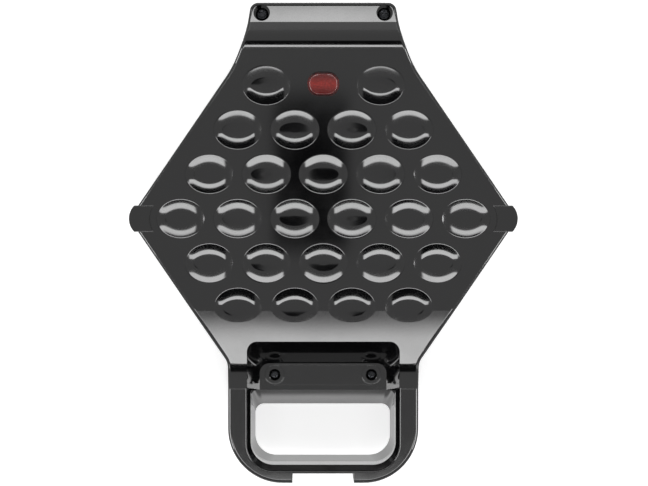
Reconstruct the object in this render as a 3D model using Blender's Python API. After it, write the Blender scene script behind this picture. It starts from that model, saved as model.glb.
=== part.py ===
"""Bubble waffle maker with a hinged lid, modelled closed, in metres, +Z up.

The origin is the bottom centre of the closed appliance. +Y points to the hinge and -Y to the
handle. Two moulded shells close on a honeycomb of oblong bubbles, and the lid repeats the
honeycomb outside as shallow dishes.
"""

from math import atan2, cos, pi, radians, sin, tan

import bmesh
import bpy
from mathutils import Matrix

# Whole appliance
FRONT_Y = -0.1455
REAR_Y = 0.1455
LID_HEADROOM = 0.00785
PARTING_Z = 0.0485
PARTING_GAP = 0.0005
BASE_BOTTOM_Z = 0.0050
WALL = 0.0025
CLEARANCE = 0.0003
OVERCUT = 0.0020

# Hexagonal outline, with its neck to the hinge and its handle
HEX_HALF_WIDTH = 0.1167
HEX_CENTRE_Y = 0.0146
HEX_TIP_RADIUS = 0.0080
NECK_KNEE_Y = 0.1060
NECK_KNEE_HALF_WIDTH = 0.05435
NECK_KNEE_RADIUS = 0.0600
NECK_WAIST_Y = 0.1250
NECK_WAIST_HALF_WIDTH = 0.0470
NECK_WAIST_RADIUS = 0.0800
NECK_END_HALF_WIDTH = 0.0437
NECK_CORNER_RADIUS = 0.0050
HANDLE_HALF_WIDTH = 0.0576
HANDLE_CORNER_RADIUS = 0.0330
HANDLE_JOINT_RADIUS = 0.0100
BASE_REAR_Y = 0.1250

# Side profile of the lid
SHOULDER_START_Y = -0.0460
CREST_RADIUS = 0.1150
CREST_ANGLE = radians(14)
SHOULDER_RADIUS = 0.0200
SHOULDER_ANGLE = radians(38)
SHOULDER_FOOT_RADIUS = 0.0060
HANDLE_DROP = 0.0107
BEND_Y = 0.1206
BEND_RADIUS = 0.0070
STRIP_FRONT_Y = 0.1336
STRIP_FRONT_Z = 0.0729
STRIP_TILT = radians(8)
LID_EDGE_FILLET = 0.0022

# Side profile of the base
BELLY_START_Y = -0.0430
BELLY_RADIUS = 0.0330
BELLY_FOOT_RADIUS = 0.0120
BELLY_ANGLE = radians(60)
TAIL_START_Y = 0.1060
TAIL_ANGLE = radians(42)
TAIL_RADIUS = 0.0150
BASE_EDGE_FILLET = 0.0035

# Corner ears
EAR_HALF_DEPTH = 0.0079
EAR_RADIUS = 0.0114
EAR_RISE = 0.0008
EAR_MARGIN = 0.0038
EAR_CHAMFER = 0.0004
EAR_BASE_LOW_Z = 0.0300

# Honeycomb: rows of three, four, five, six, five, four and three
HONEYCOMB_ROWS = (-3, -2, -1, 0, 1, 2, 3)
LONGEST_ROW = 6
TIP_MARGIN = 0.0164
DISH_WIDTH_SHARE = 0.43275
DISH_PITCH_Y = 0.0267
DISH_HALF_Y = 0.01235
DISH_DEPTH = 0.0019
CAVITY_PITCH_X = 0.0300
CAVITY_PITCH_Y = 0.0240
CAVITY_HALF_X = 0.0124
CAVITY_HALF_Y = 0.0104
CAVITY_DEPTH = 0.0110

# Cooking plates
FIELD_DEPTH = 0.0015
FIELD_MARGIN = 0.0122
LAND_MARGIN = 0.0145
FLANGE_WIDTH = 0.0025
FLANGE_THICKNESS = 0.0025
SLAB_THICKNESS = 0.0042
PLATE_SKIN = 0.0024
PLATE_BOSS_RADIUS = 0.0040
PLATE_BOSS_STANDOFF = 0.0010
SENSOR_BOSS_RADIUS = 0.0050

# Frames round the cooking plates
FRAME_LEDGE = 0.0025
FRAME_THICKNESS = 0.0053
FRAME_FRONT_MARGIN = 0.0028
SUPPORT_RIB_THICKNESS = 0.0030
SUPPORT_RIB_REACH = 0.0080
SUPPORT_RIB_SHARES = (0.3, 0.7)

# Hinge
HINGE_Y = 0.1355
HINGE_PIN_RADIUS = 0.0020
HINGE_PIN_OVERRUN = 0.0005
LUG_INNER_X = 0.0200
LUG_OUTER_X = 0.0300
LUG_RADIUS = 0.0070
ARM_INNER_X = 0.0325
ARM_OUTER_X = 0.0400
ARM_TOP_Z = 0.0560
ARM_REAR_Y = 0.1410
KNUCKLE_RADIUS = 0.0060
FRAME_REAR_Y = 0.1265

# Pocket in front of the bubbles and the finger opening behind the handle bar
POCKET_HALF_WIDTH = 0.0460
POCKET_BACK_Y = -0.0578
POCKET_CORNER_RADIUS = 0.0060
POCKET_FLOOR_Z = 0.0600
POCKET_KNEE_Z = 0.0715
POCKET_FLOOR_HALF_WIDTH = 0.0387
POCKET_FLOOR_BACK_Y = -0.0737
POCKET_FLOOR_FRONT_Y = -0.0898
GRIP_FRONT_Y = -0.1380
GRIP_CORNER_RADIUS = 0.0160
GRIP_MID_HALF_WIDTH = 0.0449
GRIP_MID_FRONT_Y = -0.1352
GRIP_MID_BACK_Y = -0.0903
GRIP_MID_CORNER_RADIUS = 0.0130
GRIP_LOW_HALF_WIDTH = 0.0420
GRIP_LOW_FRONT_Y = -0.1326
GRIP_LOW_BACK_Y = -0.1010
GRIP_BACK_CORNER_RADIUS = 0.0055

# Latch and the notch that it swings in
NOTCH_HALF_WIDTH = 0.0187
NOTCH_Y = -0.1395
LATCH_PIVOT_Y = -0.1412
LATCH_PIVOT_Z = 0.0440
LATCH_SIDE_GAP = 0.0006
LATCH_THICKNESS = 0.0024
LATCH_LENGTH = 0.0220
LATCH_KNUCKLE_RADIUS = 0.0017
LATCH_LIP_REACH = 0.0016
LATCH_LIP_START = 0.0190
LATCH_LIP_HEIGHT = 0.0016
LATCH_PIN_RADIUS = 0.0008
LATCH_PIN_OVERRUN = 0.0020
CATCH_GAP = 0.0005

# Screws that show in the lid
POCKET_SCREW_X = 0.0295
POCKET_SCREW_Y = -0.0806
POCKET_BOSS_RADIUS = 0.0060
POCKET_BOSS_RISE = 0.0020
POCKET_WELL_RADIUS = 0.00325
POCKET_WELL_FLOOR_Z = 0.0568
STRIP_SCREW_X = 0.0372
STRIP_SCREW_Y = 0.1392
STRIP_BOSS_RADIUS = 0.0065
STRIP_WELL_RADIUS = 0.0050
STRIP_WELL_FLOOR_Z = 0.0600
SCREW_RADIUS = 0.0015
SCREW_HOLE_RADIUS = 0.0018
SCREW_HEAD_HEIGHT = 0.0022
POCKET_SCREW_HEAD_RADIUS = 0.0029
STRIP_SCREW_HEAD_RADIUS = 0.0040
POCKET_SCREW_TIP_Z = 0.0505
STRIP_SCREW_TIP_Z = 0.0525
SCREW_TIP_GAP = 0.0005

# Posts, and the base screws that pull the lower plate down on them
POST_X = 0.0450
POST_ROW_OFFSET = 0.0320
POST_RADIUS = 0.0040
COLLAR_RADIUS = 0.0060
BASE_WELL_RADIUS = 0.0036
BASE_WELL_FLOOR_Z = 0.0160
BASE_SCREW_HEAD_RADIUS = 0.0030
BASE_SCREW_BITE = 0.0055

# Heating
ELEMENT_RADIUS = 0.0032
ELEMENT_SHARE = 0.62
ELEMENT_CORNER_RADIUS = 0.0120
ELEMENT_END_GAP = 0.0240
ELEMENT_TAIL_Y = 0.0960
REFLECTOR_THICKNESS = 0.0008
REFLECTOR_GAP = 0.0040
REFLECTOR_FLANGE = 0.0030
REFLECTOR_CORNER_RADIUS = 0.0080
THERMOSTAT_RADIUS = 0.0080
THERMOSTAT_FLANGE_RADIUS = 0.0100
THERMOSTAT_FLANGE_HEIGHT = 0.0012
THERMOSTAT_ROW_OFFSET = 0.0080
FUSE_RADIUS = 0.0028
FUSE_LENGTH = 0.0260
FUSE_ROW_OFFSET = -0.0240
TERMINAL_WIDTH = 0.0340
TERMINAL_DEPTH = 0.0120
TERMINAL_HEIGHT = 0.0120
TERMINAL_Y = 0.0960
TERMINAL_WAYS = 3
TERMINAL_WAY_RADIUS = 0.0030

# Cord inlet
INLET_Z = 0.0340
INLET_NECK_RADIUS = 0.0050
INLET_FLANGE_RADIUS = 0.0072
INLET_FLANGE_THICKNESS = 0.0020
INLET_BORE_RADIUS = 0.0033

# Indicator
LENS_Y = 0.0954
LENS_HALF_X = 0.00855
LENS_HALF_Y = 0.00645
LENS_CORNER_RADIUS = 0.0058
LENS_RISE = 0.0008
LENS_CHAMFER = 0.0006
LENS_FLANGE_WIDTH = 0.0015
LENS_FLANGE_THICKNESS = 0.0012
LENS_BODY_DEPTH = 0.0060
LAMP_RADIUS = 0.0030
LAMP_LENGTH = 0.0140

# Feet and vents
FOOT_X = 0.0480
FOOT_FRONT_Y = -0.0300
FOOT_REAR_Y = 0.0800
FOOT_RADIUS = 0.0080
FOOT_SOLE_RADIUS = 0.0072
FOOT_STEM_RADIUS = 0.0030
FOOT_STEM_HEIGHT = 0.0060
VENT_HALF_LENGTH = 0.0140
VENT_WIDTH = 0.0030
VENT_PITCH = 0.0070
VENT_COUNT = 5
VENT_X = 0.0640

# Facets
ARC_STEP = radians(15)
ARC_LENGTH = 0.0100
DISH_SIDES = 12
DISH_RING_SHARES = ((1.0, 0.0), (0.76, 0.48), (0.40, 0.94))
BULGE_SIDES = 8
BULGE_RING_SHARES = ((1.0, 0.0), (0.60, 1.0))
CAVITY_SIDES = 8
CAVITY_RING_SHARES = ((1.0, 0.0), (0.77, 0.67), (0.31, 1.0))
ROUND_SIDES = 16
SMALL_SIDES = 12
SMOOTH_ANGLE = radians(35)
FILLET_ANGLE = radians(50)
FILLET_SEGMENTS = 2

# Levels and places that follow from the sizes above
FLANGE_MARGIN = LAND_MARGIN + FLANGE_WIDTH
PLATE_DEPTH = FIELD_DEPTH + CAVITY_DEPTH + PLATE_SKIN
BOSS_DEPTH = PLATE_DEPTH + PLATE_BOSS_STANDOFF
ELEMENT_DEPTH = PLATE_DEPTH + CLEARANCE + ELEMENT_RADIUS
REFLECTOR_DEPTH = ELEMENT_DEPTH + ELEMENT_RADIUS + REFLECTOR_GAP
LID_LOW_Z = PARTING_Z + PARTING_GAP / 2
BASE_TOP_Z = PARTING_Z - PARTING_GAP / 2
LID_TOP_Z = LID_LOW_Z + REFLECTOR_DEPTH + REFLECTOR_THICKNESS + LID_HEADROOM
HANDLE_TOP_Z = LID_TOP_Z - HANDLE_DROP
HANDLE_LOW_Z = BASE_BOTTOM_Z + (BELLY_RADIUS + BELLY_FOOT_RADIUS) * (1 - cos(BELLY_ANGLE))
HEX_EDGE_ANGLE = atan2(NECK_KNEE_Y - HEX_CENTRE_Y, HEX_HALF_WIDTH - NECK_KNEE_HALF_WIDTH)
DISH_PITCH_X = (HEX_HALF_WIDTH - TIP_MARGIN) / ((LONGEST_ROW - 1) / 2 + DISH_WIDTH_SHARE)
DISH_HALF_X = DISH_PITCH_X * DISH_WIDTH_SHARE
HINGE_PIN_HALF_LENGTH = ARM_OUTER_X + HINGE_PIN_OVERRUN
FRAME_FRONT_Y = POCKET_FLOOR_FRONT_Y + FRAME_FRONT_MARGIN


def clear_scene():
    """Remove whatever the file holds."""
    for thing in list(bpy.data.objects):
        bpy.data.objects.remove(thing)


# Outlines

def rounded(corners):
    """Turn corners of (x, y, radius) into a closed outline with an arc at each round corner."""
    points = []
    count = len(corners)
    for index, (x, y, radius) in enumerate(corners):
        before = corners[index - 1]
        after = corners[(index + 1) % count]
        into = atan2(y - before[1], x - before[0])
        out = atan2(after[1] - y, after[0] - x)
        turn = (out - into + pi) % (2 * pi) - pi
        if radius == 0 or turn == 0:
            points.append((x, y))
            continue
        reach = radius * tan(abs(turn) / 2)
        side = 1 if turn > 0 else -1
        centre_x = x - reach * cos(into) - side * radius * sin(into)
        centre_y = y - reach * sin(into) + side * radius * cos(into)
        steps = max(1, round(abs(turn) / ARC_STEP), round(abs(turn) * radius / ARC_LENGTH))
        for step in range(steps + 1):
            angle = into - side * pi / 2 + turn * step / steps
            points.append((centre_x + radius * cos(angle), centre_y + radius * sin(angle)))
    return points


def moved_out(points, distance):
    """Move a counterclockwise outline outwards, or inwards where distance is negative."""
    result = []
    for index, (x, y) in enumerate(points):
        before = points[index - 1]
        after = points[(index + 1) % len(points)]
        into = atan2(y - before[1], x - before[0])
        out = atan2(after[1] - y, after[0] - x)
        half_turn = ((out - into + pi) % (2 * pi) - pi) / 2
        normal = into + half_turn - pi / 2
        reach = distance / cos(half_turn)
        result.append((x + reach * cos(normal), y + reach * sin(normal)))
    return result


def clipped(points, front, rear):
    """Cut an outline off at two depths."""
    for limit, side in ((front, 1), (rear, -1)):
        kept = []
        for index, point in enumerate(points):
            before = points[index - 1]
            inside = side * (point[1] - limit) >= 0
            was_inside = side * (before[1] - limit) >= 0
            if inside != was_inside:
                share = (limit - before[1]) / (point[1] - before[1])
                kept.append((before[0] + share * (point[0] - before[0]), limit))
            if inside:
                kept.append(point)
        points = kept
    return points


def mirrored(corners):
    """Complete a right half, given from front to rear, with its left half."""
    return corners + [(-x, y, radius) for x, y, radius in reversed(corners)]


def rectangle(half_width, front, rear, front_radius, rear_radius):
    """Outline of a rectangle whose front and rear corners have their own radii."""
    return rounded(mirrored([(half_width, front, front_radius), (half_width, rear, rear_radius)]))


def hex_half_width(y):
    """Half the width between the hexagon's sloping sides at a depth."""
    return HEX_HALF_WIDTH - abs(y - HEX_CENTRE_Y) / tan(HEX_EDGE_ANGLE)


def shell_outline():
    """Outline that the lid and the base share: handle, hexagon and neck."""
    joint_y = HEX_CENTRE_Y - (HEX_HALF_WIDTH - HANDLE_HALF_WIDTH) * tan(HEX_EDGE_ANGLE)
    return rounded(mirrored([
        (HANDLE_HALF_WIDTH, FRONT_Y, HANDLE_CORNER_RADIUS),
        (HANDLE_HALF_WIDTH, joint_y, HANDLE_JOINT_RADIUS),
        (HEX_HALF_WIDTH, HEX_CENTRE_Y, HEX_TIP_RADIUS),
        (NECK_KNEE_HALF_WIDTH, NECK_KNEE_Y, NECK_KNEE_RADIUS),
        (NECK_WAIST_HALF_WIDTH, NECK_WAIST_Y, NECK_WAIST_RADIUS),
        (NECK_END_HALF_WIDTH, REAR_Y, NECK_CORNER_RADIUS),
    ]))


def ear_outline(side):
    """Outline of the tab on one tip of the hexagon, hollowed round the outermost dish."""
    centre_x = HEX_HALF_WIDTH - EAR_RADIUS
    spread = atan2(EAR_HALF_DEPTH, (EAR_RADIUS ** 2 - EAR_HALF_DEPTH ** 2) ** 0.5)
    steps = round(2 * spread / ARC_STEP)
    outer = []
    for step in range(steps + 1):
        angle = spread * (2 * step / steps - 1)
        outer.append((centre_x + EAR_RADIUS * cos(angle), HEX_CENTRE_Y + EAR_RADIUS * sin(angle)))
    dish_x = DISH_PITCH_X * (LONGEST_ROW - 1) / 2
    half_x = DISH_HALF_X + EAR_MARGIN
    half_y = DISH_HALF_Y + EAR_MARGIN
    inner = []
    for step in range(steps + 1):
        y = EAR_HALF_DEPTH * (1 - 2 * step / steps)
        inner.append((dish_x + half_x * (1 - (y / half_y) ** 2) ** 0.5, HEX_CENTRE_Y + y))
    outline = outer + inner
    return outline if side > 0 else [(-x, y) for x, y in reversed(outline)]


def pattern_outline(margin, corner_radius=None):
    """Hexagon through the centres of the outermost cavities, moved out by a margin."""
    half_short = CAVITY_PITCH_X * (LONGEST_ROW - 1 - HONEYCOMB_ROWS[-1]) / 2
    half_long = CAVITY_PITCH_X * (LONGEST_ROW - 1) / 2
    half_depth = CAVITY_PITCH_Y * HONEYCOMB_ROWS[-1]
    sharp = [
        (half_short, HEX_CENTRE_Y - half_depth),
        (half_long, HEX_CENTRE_Y),
        (half_short, HEX_CENTRE_Y + half_depth),
        (-half_short, HEX_CENTRE_Y + half_depth),
        (-half_long, HEX_CENTRE_Y),
        (-half_short, HEX_CENTRE_Y - half_depth),
    ]
    radius = margin if corner_radius is None else corner_radius
    return rounded([(x, y, radius) for x, y in moved_out(sharp, margin)])


def honeycomb(pitch_x, pitch_y):
    """Row number and centre of each place in the honeycomb."""
    for row in HONEYCOMB_ROWS:
        count = LONGEST_ROW - abs(row)
        for place in range(count):
            x = pitch_x * (place - (count - 1) / 2)
            yield row, x, HEX_CENTRE_Y + pitch_y * row


def dish_places():
    """Centres of the lid's dishes: no front row, and the indicator in the rear row's middle."""
    for row, x, y in honeycomb(DISH_PITCH_X, DISH_PITCH_Y):
        indicator = row == HONEYCOMB_ROWS[-1] and abs(x) < DISH_HALF_X
        if row != HONEYCOMB_ROWS[0] and not indicator:
            yield x, y


def post_places():
    """The four places between cavities where a post carries a plate."""
    for x in (-POST_X, POST_X):
        for offset in (-POST_ROW_OFFSET, POST_ROW_OFFSET):
            yield x, HEX_CENTRE_Y + offset


# Solids

def finished(name, bm, smooth=False):
    """Turn a bmesh into a mesh."""
    mesh = bpy.data.meshes.new(name)
    bm.to_mesh(mesh)
    bm.free()
    if smooth:
        mesh.shade_smooth()
        mesh.set_sharp_from_angle(angle=SMOOTH_ANGLE)
    return mesh


def face_out(bm, faces):
    """Turn the faces of one closed body outwards, by the sign of the volume that they enclose."""
    bmesh.ops.recalc_face_normals(bm, faces=faces)
    volume = 0.0
    for face in faces:
        first = face.verts[0].co
        for second, third in zip(face.verts[1:], face.verts[2:]):
            volume += first.dot(second.co.cross(third.co))
    if volume < 0:
        bmesh.ops.reverse_faces(bm, faces=faces)


def add_loft(bm, sections):
    """Skin closed sections of equal count, one after another, and fill both ends."""
    rings = [[bm.verts.new(point) for point in section] for section in sections]
    faces = [bm.faces.new(rings[0]), bm.faces.new(rings[-1])]
    for first, second in zip(rings, rings[1:]):
        for index in range(len(first)):
            quad = (first[index - 1], first[index], second[index], second[index - 1])
            faces.append(bm.faces.new(quad))
    face_out(bm, faces)


def at_level(outline, z):
    """Lay a flat outline at a level."""
    return [(x, y, z) for x, y in outline]


def add_prism(bm, outline, low, high):
    """Raise an outline from one level to another."""
    add_loft(bm, [at_level(outline, low), at_level(outline, high)])


def add_side_prism(bm, profile, left, right):
    """Run a (y, z) profile across the appliance."""
    add_loft(bm, [[(x, y, z) for y, z in profile] for x in (left, right)])


def add_box(bm, x_range, y_range, z_range):
    """Block between two corners."""
    (x0, x1), (y0, y1) = x_range, y_range
    add_prism(bm, [(x0, y0), (x1, y0), (x1, y1), (x0, y1)], *z_range)


def add_turned(bm, x, y, steps, sides=ROUND_SIDES):
    """Turned piece about a vertical line, given as (radius, z) from its lowest level up."""
    sections = []
    for radius, z in steps:
        angles = [2 * pi * side / sides for side in range(sides)]
        sections.append([(x + radius * cos(a), y + radius * sin(a), z) for a in angles])
    add_loft(bm, sections)


def add_roller(bm, y, z, radius, left, right, sides=ROUND_SIDES):
    """Cylinder along X."""
    angles = [2 * pi * side / sides for side in range(sides)]
    add_side_prism(bm, [(y + radius * cos(a), z + radius * sin(a)) for a in angles], left, right)


def add_bowl(bm, x, y, half_x, half_y, rim_z, depth, rise, sides, ring_shares):
    """Oblong bowl from its rim down by depth, closed above the rim by a rise, or upside down."""
    turns = [2 * pi * side / sides for side in range(sides)]
    levels = [(1.0, rim_z + rise)] + [(wide, rim_z - depth * deep) for wide, deep in ring_shares]
    sections = []
    for wide, z in levels:
        sections.append([(x + half_x * wide * cos(t), y + half_y * wide * sin(t), z) for t in turns])
    add_loft(bm, sections)


def piece(name, bm, material, parent, smooth=True):
    """Named sub-part, kept in place under its body's axis."""
    obj = bpy.data.objects.new(name, finished(name, bm, smooth))
    obj.data.materials.append(material)
    bpy.context.scene.collection.objects.link(obj)
    obj.parent = parent
    obj.matrix_parent_inverse = Matrix.Translation(parent.location).inverted()
    return obj


def cutter(name, bm):
    """Solid that only cuts or adds to others."""
    obj = bpy.data.objects.new(name, finished(name, bm))
    obj.hide_render = True
    obj.display_type = "WIRE"
    bpy.context.scene.collection.objects.link(obj)
    return obj


def combine(target, operation, other):
    """Exact Boolean, left live on its target."""
    modifier = target.modifiers.new(other.name, "BOOLEAN")
    modifier.operation = operation
    modifier.solver = "EXACT"
    modifier.object = other


def cut(target, *others):
    """Take solids out of a target."""
    for other in others:
        combine(target, "DIFFERENCE", other)


def add(target, *others):
    """Fuse solids to a target."""
    for other in others:
        combine(target, "UNION", other)


def round_edges(target, width):
    """Fillet the sharp rims that a target has at this point of its stack."""
    modifier = target.modifiers.new("edge_fillet", "BEVEL")
    modifier.width = width
    modifier.segments = FILLET_SEGMENTS
    modifier.limit_method = "ANGLE"
    modifier.angle_limit = FILLET_ANGLE


def material(name, colour, roughness, metallic=0.0, alpha=1.0):
    """Principled material with the sub-part's colour and finish."""
    result = bpy.data.materials.new(name)
    result.use_nodes = True
    shader = result.node_tree.nodes["Principled BSDF"]
    shader.inputs["Base Color"].default_value = (*colour, 1.0)
    shader.inputs["Roughness"].default_value = roughness
    shader.inputs["Metallic"].default_value = metallic
    shader.inputs["Alpha"].default_value = alpha
    result.diffuse_color = (*colour, 1.0)
    return result


def axis_empty(name, y, z):
    """Empty on a joint's axis, which its body's pieces hang from."""
    empty = bpy.data.objects.new(name, None)
    empty.location = (0, y, z)
    bpy.context.scene.collection.objects.link(empty)
    return empty


# Forms that both shells are made from

def lid_profile(drop):
    """(y, z) outline under the lid's top, lowered by a drop along the whole top."""
    panel_angle = atan2(LID_TOP_Z - STRIP_FRONT_Z, STRIP_FRONT_Y - BEND_Y)
    turn = SHOULDER_ANGLE - CREST_ANGLE
    tilt = (SHOULDER_ANGLE + CREST_ANGLE) / 2
    run = CREST_RADIUS * tan(CREST_ANGLE / 2)
    reach = run + SHOULDER_RADIUS * tan(turn / 2)
    crest_y = SHOULDER_START_Y - run
    shoulder_y = crest_y - reach * cos(CREST_ANGLE)
    shoulder_z = LID_TOP_Z - reach * sin(CREST_ANGLE)
    foot_y = shoulder_y - (shoulder_z - HANDLE_TOP_Z) / tan(SHOULDER_ANGLE)
    shift = drop / cos(turn / 2)
    rear_end = REAR_Y + OVERCUT
    rear_z = STRIP_FRONT_Z - (rear_end - STRIP_FRONT_Y) * tan(STRIP_TILT)
    front_end = FRONT_Y - OVERCUT
    floor = LID_LOW_Z - WALL - OVERCUT
    strip_inset = drop * tan((panel_angle - STRIP_TILT) / 2)
    bend_inset = drop * tan(panel_angle / 2)
    strip_drop = drop / cos(STRIP_TILT)
    return rounded([
        (front_end, floor, 0),
        (rear_end, floor, 0),
        (rear_end, rear_z - strip_drop, 0),
        (STRIP_FRONT_Y - strip_inset - drop * sin(STRIP_TILT), STRIP_FRONT_Z - drop * cos(STRIP_TILT), 0),
        (BEND_Y - bend_inset, LID_TOP_Z - drop, max(BEND_RADIUS - drop, CLEARANCE)),
        (crest_y + drop * tan(CREST_ANGLE / 2), LID_TOP_Z - drop, CREST_RADIUS - drop),
        (shoulder_y + shift * sin(tilt), shoulder_z - shift * cos(tilt), SHOULDER_RADIUS - drop),
        (foot_y + drop * tan(SHOULDER_ANGLE / 2), HANDLE_TOP_Z - drop, SHOULDER_FOOT_RADIUS + drop),
        (front_end, HANDLE_TOP_Z - drop, 0),
    ])


def base_profile(rise):
    """(y, z) outline above the base's underside, raised by a rise along the whole underside."""
    run = BELLY_RADIUS * tan(BELLY_ANGLE / 2)
    corner_y = BELLY_START_Y - run
    foot_y = corner_y - (HANDLE_LOW_Z - BASE_BOTTOM_Z) / tan(BELLY_ANGLE)
    belly_inset = rise * tan(BELLY_ANGLE / 2)
    tail_inset = rise * tan(TAIL_ANGLE / 2)
    tail_corner_y = TAIL_START_Y + TAIL_RADIUS * tan(TAIL_ANGLE / 2)
    rear_end = BASE_REAR_Y + OVERCUT
    front_end = FRONT_Y - OVERCUT
    roof = BASE_TOP_Z + WALL + OVERCUT
    tail_run = rear_end - tail_corner_y + tail_inset
    return rounded([
        (front_end, HANDLE_LOW_Z + rise, 0),
        (foot_y + belly_inset, HANDLE_LOW_Z + rise, BELLY_FOOT_RADIUS + rise),
        (corner_y + belly_inset, BASE_BOTTOM_Z + rise, BELLY_RADIUS - rise),
        (tail_corner_y - tail_inset, BASE_BOTTOM_Z + rise, TAIL_RADIUS - rise),
        (rear_end, BASE_BOTTOM_Z + rise + tail_run * tan(TAIL_ANGLE), 0),
        (rear_end, roof, 0),
        (front_end, roof, 0),
    ])


def lid_form(name, inset, drop):
    """The lid's outer form, or the same form moved in by a wall, as a cutter."""
    bm = bmesh.new()
    low = LID_LOW_Z - WALL - OVERCUT if inset == 0 else LID_LOW_Z - OVERCUT
    add_prism(bm, moved_out(shell_outline(), -inset), low, LID_TOP_Z + OVERCUT)
    form = cutter(name, bm)
    bm = bmesh.new()
    half = HEX_HALF_WIDTH + OVERCUT
    add_side_prism(bm, lid_profile(drop), -half, half)
    combine(form, "INTERSECT", cutter(name + "_profile", bm))
    return form


def base_form(name, inset, rise):
    """The base's outer form, or the same form moved in by a wall, as a cutter."""
    bm = bmesh.new()
    high = BASE_TOP_Z + WALL + OVERCUT if inset == 0 else BASE_TOP_Z + OVERCUT
    outline = clipped(moved_out(shell_outline(), -inset), FRONT_Y, BASE_REAR_Y - inset)
    add_prism(bm, outline, BASE_BOTTOM_Z - OVERCUT, high)
    form = cutter(name, bm)
    bm = bmesh.new()
    half = HEX_HALF_WIDTH + OVERCUT
    add_side_prism(bm, base_profile(rise), -half, half)
    combine(form, "INTERSECT", cutter(name + "_profile", bm))
    return form


def trim(name, low, high):
    """Block that trims a shell level at the parting plane."""
    bm = bmesh.new()
    half = HEX_HALF_WIDTH + OVERCUT
    add_box(bm, (-half, half), (FRONT_Y - OVERCUT, REAR_Y + OVERCUT), (low, high))
    return cutter(name, bm)


def ears(name, low, high):
    """Both corner tabs, with a small chamfer on top."""
    bm = bmesh.new()
    for side in (-1, 1):
        outline = ear_outline(side)
        smaller = moved_out(outline, -EAR_CHAMFER)
        add_loft(bm, [at_level(outline, low), at_level(outline, high - EAR_CHAMFER),
                      at_level(smaller, high)])
    return cutter(name, bm)


def pocket(name, grow):
    """Pocket behind the finger opening, or the same pocket grown by a wall."""
    front = POCKET_FLOOR_FRONT_Y - grow
    slope = (POCKET_BACK_Y - POCKET_FLOOR_BACK_Y) / (LID_TOP_Z - POCKET_FLOOR_Z)
    top_z = LID_TOP_Z + OVERCUT
    sections = []
    for half, z in ((POCKET_HALF_WIDTH, top_z), (POCKET_HALF_WIDTH, POCKET_KNEE_Z),
                    (POCKET_FLOOR_HALF_WIDTH, POCKET_FLOOR_Z)):
        back = POCKET_FLOOR_BACK_Y + (z - POCKET_FLOOR_Z) * slope
        lift = grow if z == POCKET_FLOOR_Z else 0
        outline = rectangle(half + grow, front, back + grow, 0, POCKET_CORNER_RADIUS + grow)
        sections.append(at_level(outline, z - lift))
    bm = bmesh.new()
    add_loft(bm, sections[::-1])
    return cutter(name, bm)


def grip_section(half_width, front, back, front_radius, back_radius, grow, z):
    """One level of the finger opening."""
    outline = rectangle(half_width + grow, front - grow, back + grow, front_radius + grow,
                        back_radius + grow)
    return at_level(outline, z)


def lid_grip(name, grow):
    """Finger opening through the lid's handle, tapering down to the parting plane."""
    bm = bmesh.new()
    wide = (POCKET_HALF_WIDTH, GRIP_FRONT_Y, POCKET_FLOOR_FRONT_Y + OVERCUT, GRIP_CORNER_RADIUS,
            CLEARANCE)
    middle = (GRIP_MID_HALF_WIDTH, GRIP_MID_FRONT_Y, GRIP_MID_BACK_Y, GRIP_MID_CORNER_RADIUS,
              CLEARANCE)
    knee_z = POCKET_FLOOR_Z + CLEARANCE
    share = (POCKET_KNEE_Z - knee_z) / (POCKET_KNEE_Z - PARTING_Z)
    between = tuple(a + (b - a) * share for a, b in zip(wide, middle))
    add_loft(bm, [grip_section(*middle, grow, LID_LOW_Z - OVERCUT),
                  grip_section(*middle, grow, LID_LOW_Z),
                  grip_section(*between, grow, knee_z),
                  grip_section(*wide, grow, POCKET_KNEE_Z),
                  grip_section(*wide, grow, LID_TOP_Z)])
    return cutter(name, bm)


def base_grip(name, grow):
    """Finger opening through the base's handle, tapering on down."""
    bm = bmesh.new()
    middle = (GRIP_MID_HALF_WIDTH, GRIP_MID_FRONT_Y, GRIP_MID_BACK_Y, GRIP_MID_CORNER_RADIUS,
              GRIP_BACK_CORNER_RADIUS)
    low = (GRIP_LOW_HALF_WIDTH, GRIP_LOW_FRONT_Y, GRIP_LOW_BACK_Y, GRIP_MID_CORNER_RADIUS,
           GRIP_BACK_CORNER_RADIUS)
    add_loft(bm, [grip_section(*low, grow, BASE_BOTTOM_Z),
                  grip_section(*low, grow, HANDLE_LOW_Z),
                  grip_section(*middle, grow, BASE_TOP_Z),
                  grip_section(*middle, grow, BASE_TOP_Z + OVERCUT)])
    return cutter(name, bm)


def notch(name, low, high, grow):
    """Notch at the front that the latch swings in."""
    bm = bmesh.new()
    half = NOTCH_HALF_WIDTH + grow
    add_box(bm, (-half, half), (FRONT_Y - OVERCUT, NOTCH_Y + grow), (low, high))
    return cutter(name, bm)


def bowls(name, places, half_x, half_y, rim_z, depth, rise, sides, ring_shares):
    """One cutter with a bowl at each place."""
    bm = bmesh.new()
    for x, y in places:
        add_bowl(bm, x, y, half_x, half_y, rim_z, depth, rise, sides, ring_shares)
    return cutter(name, bm)


# Pieces of the lid

def screw_places(x, y):
    """A screw's place on each side."""
    return ((-x, y), (x, y))


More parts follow.
